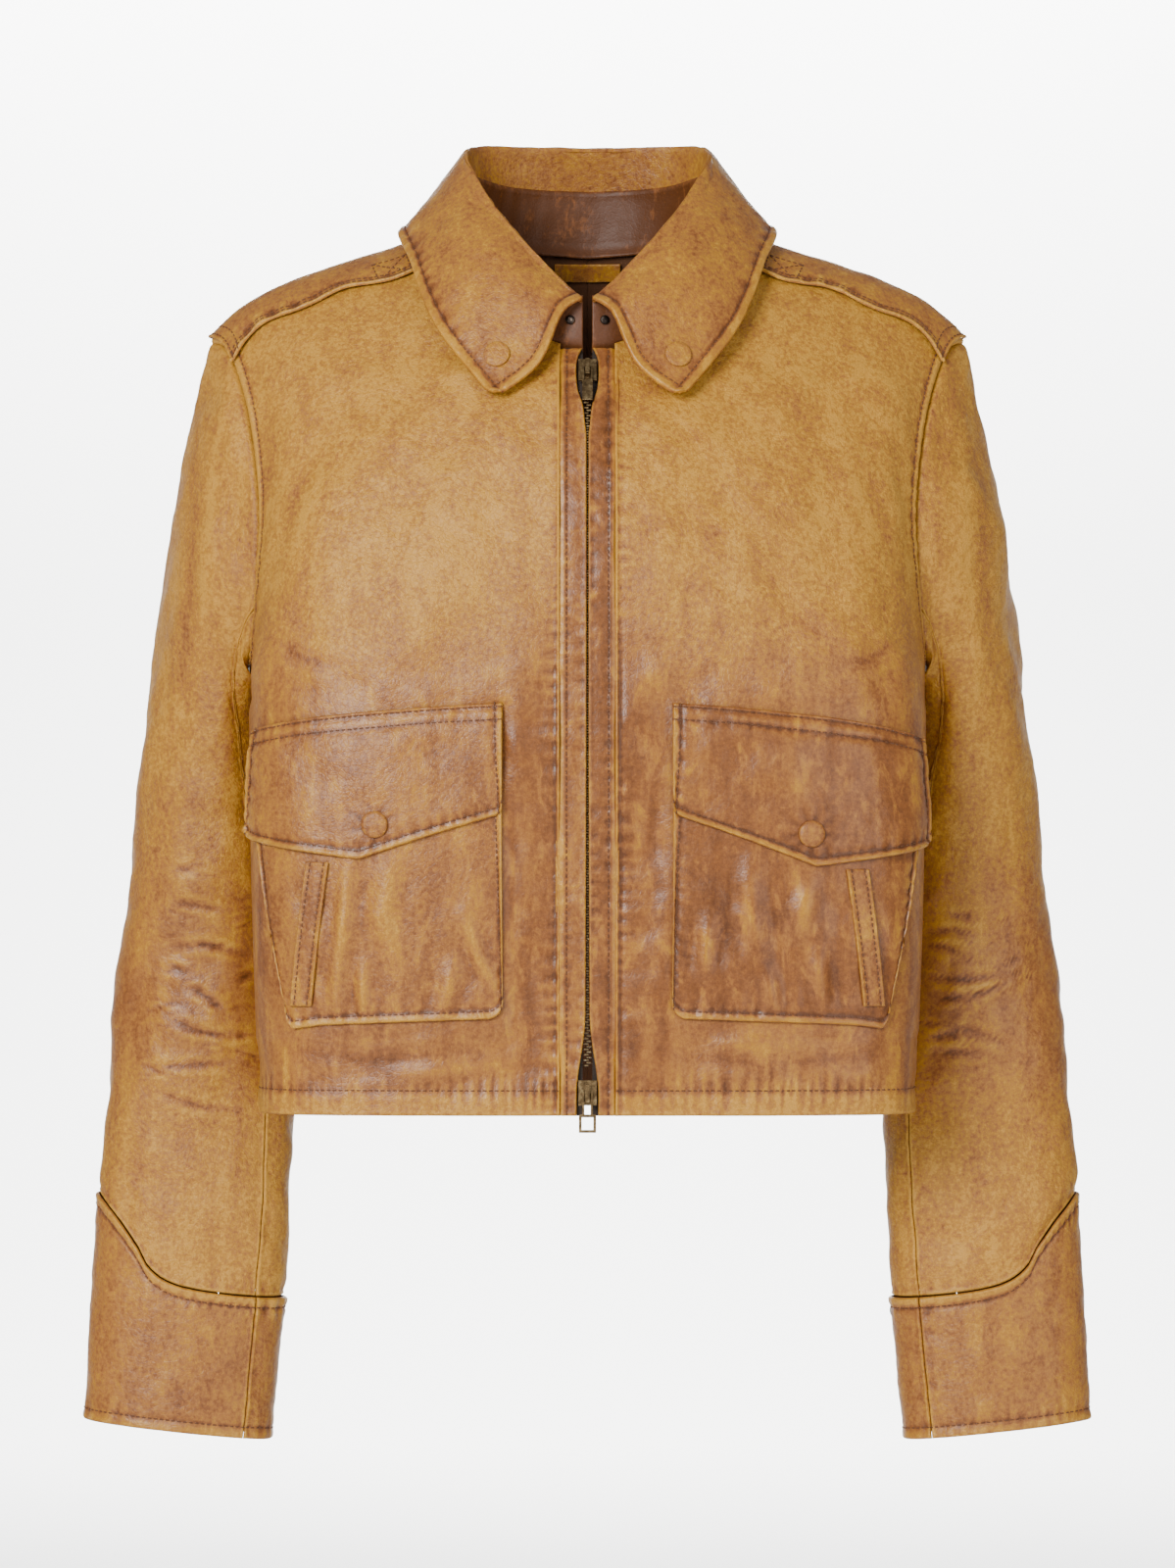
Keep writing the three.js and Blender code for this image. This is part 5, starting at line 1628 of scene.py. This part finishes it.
collar = on_grid(round_neck(collar_point, COLLAR_ROWS), COLLAR_OUTSIDE, TURNED_LEATHER)
rows = np.linspace(0, 1, len(collar.points))[:, None]
leaf = step_up(LEAF_START - LEAF_EASE, LEAF_START + LEAF_EASE, rows)
for side in ("left", "right"):
    collar.round_corner(side, "high", COLLAR_TIP_RADIUS)
collar.seam("high", COLLAR_STITCH, "leaf", seed=1)
collar.seam("left", COLLAR_STITCH, "leaf_end", seed=2, where=leaf)
collar.seam("right", COLLAR_STITCH, "leaf_end", seed=3, where=leaf)
collar.rumple("collar", seed=41)
outline = np.minimum(collar.high, np.minimum(collar.left, collar.right))
collar.brown += TONES["collar"] + edge_tone("collar", outline)
collar.stitch("high", COLLAR_STITCH, *LEAF_STITCHES)
collar.stitch("left", COLLAR_STITCH, *LEAF_END_STITCHES)
collar.stitch("right", COLLAR_STITCH, *LEAF_END_STITCHES)
make_cloth("collar", collar, lining=0.0)

band = on_grid(round_neck(band_sheet, BAND_ROWS), BACKWARD, LEATHER)
band.seam("high", BAND_STITCH, "band", seed=4)
band.rumple("band", seed=43)
# band's dark brown dye, darker still as painted shade inside the neck
band.brown += TONES["band"]
band.stitch("high", BAND_STITCH)
make_cloth("neck_band", band, lining=0.0)

# Snaps of the collar and band, and studs of the cuffs
stud_turns = {"right": 222, "left": 204}


def seat_on(surface, a, b, outside, lift, steps=(NORMAL_STEP, NORMAL_STEP)):
    """Point lifted off a surface of two values, and the surface's normal there."""
    first = surface(a + steps[0], b) - surface(a - steps[0], b)
    second = surface(a, b + steps[1]) - surface(a, b - steps[1])
    normal = unit(np.cross(first, second))
    if normal @ np.array(outside) < 0:
        normal = -normal
    return surface(a, b) + normal * lift, normal


def make_fastener(name, seat, sign, shape, *looks):
    """Cap of a given shape on a seat of the wearer's left side, or mirrored."""
    make_cap(name, *(sided(v, sign) for v in seat), shape["radius"], shape["height"], *looks)


for side, sign in SIDES.items():
    tip = seat_on(collar_point, TIP_SNAP["share"], TIP_SNAP["stop"], FORWARD, 2 * LAYER_GAP)
    make_fastener(f"collar_snap_{side}", tip, sign, TIP_SNAP, leather, "leather_gold", TONES["collar_snap"])
    end = seat_on(band_point, BAND_SNAP["share"], BAND_SNAP["rise"], FORWARD, LAYER_GAP)
    make_fastener(f"band_snap_{side}", end, sign, BAND_SNAP, iron, "dark_metal")
    lift = CUFF_PROUD + LAYER_GAP
    stud = seat_on(sleeve, stud_turns[side], STUD["share"], STUD_OUTSIDE, lift, (1, NORMAL_STEP))
    make_fastener(f"cuff_stud_{side}", stud, sign, STUD, iron, "dark_metal")


# Shoulder straps over the shoulder seam
def down_from_shoulder(grid, shares, distances):
    """Points of a panel at distances down from its shoulder edge, at shares of its width."""
    rows = np.arange(len(grid))[::-1][:, None]
    strips = between(grid, rows, shares[None] / SEAM_TRIM * (grid.shape[1] - 1))
    lengths = reach(strips, 0)
    return np.array([points_at(distances[j], lengths[:, j], strips[:, j]) for j in range(len(shares))])


def cross_box(cloth, rows, columns):
    """Stitched box with a cross in it, between two rows and two columns of a cloth."""
    corners = [(r, c) for r in rows for c in columns]
    share = np.linspace(0, 1, CROSS_POINTS)
    for k, start in enumerate(corners):
        for end in corners[k + 1:]:
            cloth.thread.append((mix(start[0], end[0], share), mix(start[1], end[1], share)))


strap_shares = np.linspace(*STRAP_SPAN, STRAP_COLUMNS + 1)
wave_turns = (strap_shares - STRAP_WAVE_START) / STRAP_WAVE_SHARE
strap_wave = 1 + STRAP_WAVE * np.cos(2 * np.pi * wave_turns)
strap_grid = np.array([
    down_from_shoulder(front_grid, strap_shares, -d * strap_wave)
    if d < 0 else down_from_shoulder(back_grid, strap_shares, np.full(len(strap_shares), d))
    for d in np.linspace(-STRAP_FRONT, STRAP_BACK, STRAP_ROWS + 1)
])
strap_grid = smoothed(strap_grid, STRAP_EASE)
for side, sign in SIDES.items():
    strap = on_grid(strap_grid, UP, LEATHER, sign)
    strap.bulge += 3 * LAYER_GAP
    for distance in STRAP_STITCHES:
        strap.seam("low", distance, "strap", seed=sign + distance)
        strap.stitch("low", distance)
    strap.seam("right", STRAP_STITCHES[0], "strap_tip", seed=sign)
    strap.stitch("right", STRAP_STITCHES[0])
    cross_box(strap, STRAP_BOX_ROWS, STRAP_BOX_COLUMNS)
    strap.stitch("right", STRAP_TIP_STITCH)
    strap.rumple("strap", seed=51)
    strap.brown += TONES["strap"] + edge_tone("strap", strap.low)
    make_cloth(f"strap_{side}", strap, top=LEATHER)

# Zip plackets, teeth, sliders, pulls and tapes along the front centre
placket_z = np.linspace(HEM_Z, PLACKET_TOP_Z, PLACKET_COUNT + 1)[:, None]
closer = step_up(*PLACKET_CLOSER_LOW_Z, placket_z) * step_up(*PLACKET_CLOSER_HIGH_Z, placket_z)
placket_edge = zip_gap(placket_z) - PLACKET_CLOSER * closer
placket_x = mix(placket_edge, PLACKET_TUCK_X, np.linspace(0, 1, PLACKET_COLUMNS + 1)[None])
placket_grid = np.stack(np.broadcast_arrays(placket_x, front_y(placket_z), placket_z), -1)
for side, sign in SIDES.items():
    strip = on_grid(placket_grid, FORWARD, TURNED_LEATHER, sign)
    strip.seam("left", PLACKET_EDGE_STITCH, "placket_edge", seed=sign + 1)
    strip.seam("right", PLACKET_STITCH, "placket", seed=sign + 2)
    strip.rumple("placket", seed=61)
    strip.brown += TONES[f"placket_{side}"] + edge_tone("placket", strip.left)
    strip.bulge -= PLACKET_TUCK * step_up(*PLACKET_TUCK_SPAN, np.abs(strip.x))
    strip.stitch("right", PLACKET_STITCH)
    make_cloth(f"placket_{side}", strip, top=PLACKET_PROUD)
    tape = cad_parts[f"zip_tape_{side}"]
    tape.data.materials.clear()
    tape.data.materials.append(tape_cloth)


def tooth(z, sign):
    """Corners of one tooth: a block that narrows towards the front."""
    y = front_y(z) + CHAIN_BACK
    corners = []
    for depth, inset in ((0, TOOTH_TIP_INSET), (CHAIN_DEPTH, 0)):
        for x in (-TOOTH_INNER_X, CHAIN_HALF - inset):
            for k in (-1, 1):
                corners.append((sign * x, y + depth, z + k * (TOOTH_HEIGHT / 2 - inset / 2)))
    return corners


tooth_faces = np.array([(0, 1, 3, 2), (4, 6, 7, 5), (0, 4, 5, 1), (2, 3, 7, 6), (0, 2, 6, 4), (1, 5, 7, 3)])
tooth_points = []
tooth_quads = []
for i, z in enumerate(np.arange(*CHAIN_Z, TOOTH_PITCH)):
    sign = 1 if i % 2 else -1
    tooth_points += tooth(z, sign)
    faces = tooth_faces if sign < 0 else tooth_faces[:, ::-1]
    tooth_quads.append(faces + 8 * i)
teeth = mesh_object("zip_teeth", tooth_points, np.concatenate(tooth_quads), smooth=False)
finish_piece(teeth, brass, ["zip_chain"])


def bevelled_copy(node, body):
    """Copy of a metal node with its edges rounded."""
    obj = bpy.data.objects.new(f"{node}_metal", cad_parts[node].data.copy())
    obj.data.materials.clear()
    bpy.context.scene.collection.objects.link(obj)
    work = bmesh.new()
    work.from_mesh(obj.data)
    bmesh.ops.remove_doubles(work, verts=work.verts, dist=WELD_DISTANCE)
    bmesh.ops.dissolve_limit(work, angle_limit=FLAT_ANGLE, verts=work.verts, edges=work.edges)
    bmesh.ops.bevel(work, geom=work.edges, offset=METAL_BEVEL, segments=2, affect="EDGES", profile=0.5)
    work.to_mesh(obj.data)
    work.free()
    finish_piece(obj, brass, [node], body)


for end in ("top", "bottom"):
    bevelled_copy(f"slider_{end}", "jacket")
    bevelled_copy(f"pull_{end}", f"pull_{end}")

# Hanger strip inside the back neck
hanger_k = np.linspace(-1, 1, HANGER_COLUMNS + 1)[None]
hanger_z = np.linspace(*HANGER_SPAN, HANGER_ROWS + 1)[:, None]
hanger_y = back_y(hanger_z) - 2 * LEATHER - LAYER_GAP - HANGER_BEND * np.abs(hanger_k)
hanger_grid = np.stack(np.broadcast_arrays(HANGER_HALF * hanger_k, hanger_y, hanger_z), -1)
hanger = on_grid(hanger_grid, FORWARD, LEATHER)
hanger.rumple("hanger", seed=71)
hanger.brown += TONES["hanger"]
make_cloth("hanger_strip", hanger)

# Pale floor that curves up into a wall behind
turns = np.linspace(0, np.pi / 2, COVE_POINTS)
cove_y = WALL_Y - COVE_RADIUS + COVE_RADIUS * np.sin(turns)
cove_z = FLOOR_Z + COVE_RADIUS * (1 - np.cos(turns))
profile = [(FLOOR_FRONT, FLOOR_Z), *zip(cove_y, cove_z), (WALL_Y, WALL_TOP)]
stage_points = [(x, y, z) for y, z in profile for x in (-STAGE_HALF_WIDTH, STAGE_HALF_WIDTH)]
stage_faces = [(2 * i, 2 * i + 1, 2 * i + 3, 2 * i + 2) for i in range(len(profile) - 1)]
stage_material, _, stage_shader = new_material("pale_floor")
stage_shader.inputs["Base Color"].default_value = STAGE_COLOUR
stage_shader.inputs["Roughness"].default_value = 0.9
stage = mesh_object("stage", np.array(stage_points) / MM, stage_faces)
stage.data.materials.append(stage_material)

# Soft light from the upper left, with a weaker fill and a pale world
for entry in LIGHTS:
    data = bpy.data.lights.new(entry["name"], "AREA")
    data.energy = entry["watts"]
    data.size = entry["size"]
    light = bpy.data.objects.new(entry["name"], data)
    light.location = entry["at"]
    aim = Vector(entry.get("aim", LIGHT_AIM)) - light.location
    light.rotation_euler = aim.to_track_quat("-Z", "Y").to_euler()
    bpy.context.scene.collection.objects.link(light)
world = bpy.data.worlds.new("pale_world")
world.use_nodes = True
world.node_tree.nodes["Background"].inputs["Color"].default_value = WORLD_COLOUR
world.node_tree.nodes["Background"].inputs["Strength"].default_value = WORLD_STRENGTH
bpy.context.scene.world = world

# Camera level with the middle of the jacket
camera_data = bpy.data.cameras.new("camera")
camera_data.lens = LENS
camera_data.sensor_width = SENSOR
camera = bpy.data.objects.new("camera", camera_data)
camera.location = CAMERA_AT
camera.rotation_euler = (np.pi / 2, 0, 0)
bpy.context.scene.collection.objects.link(camera)
bpy.context.scene.camera = camera
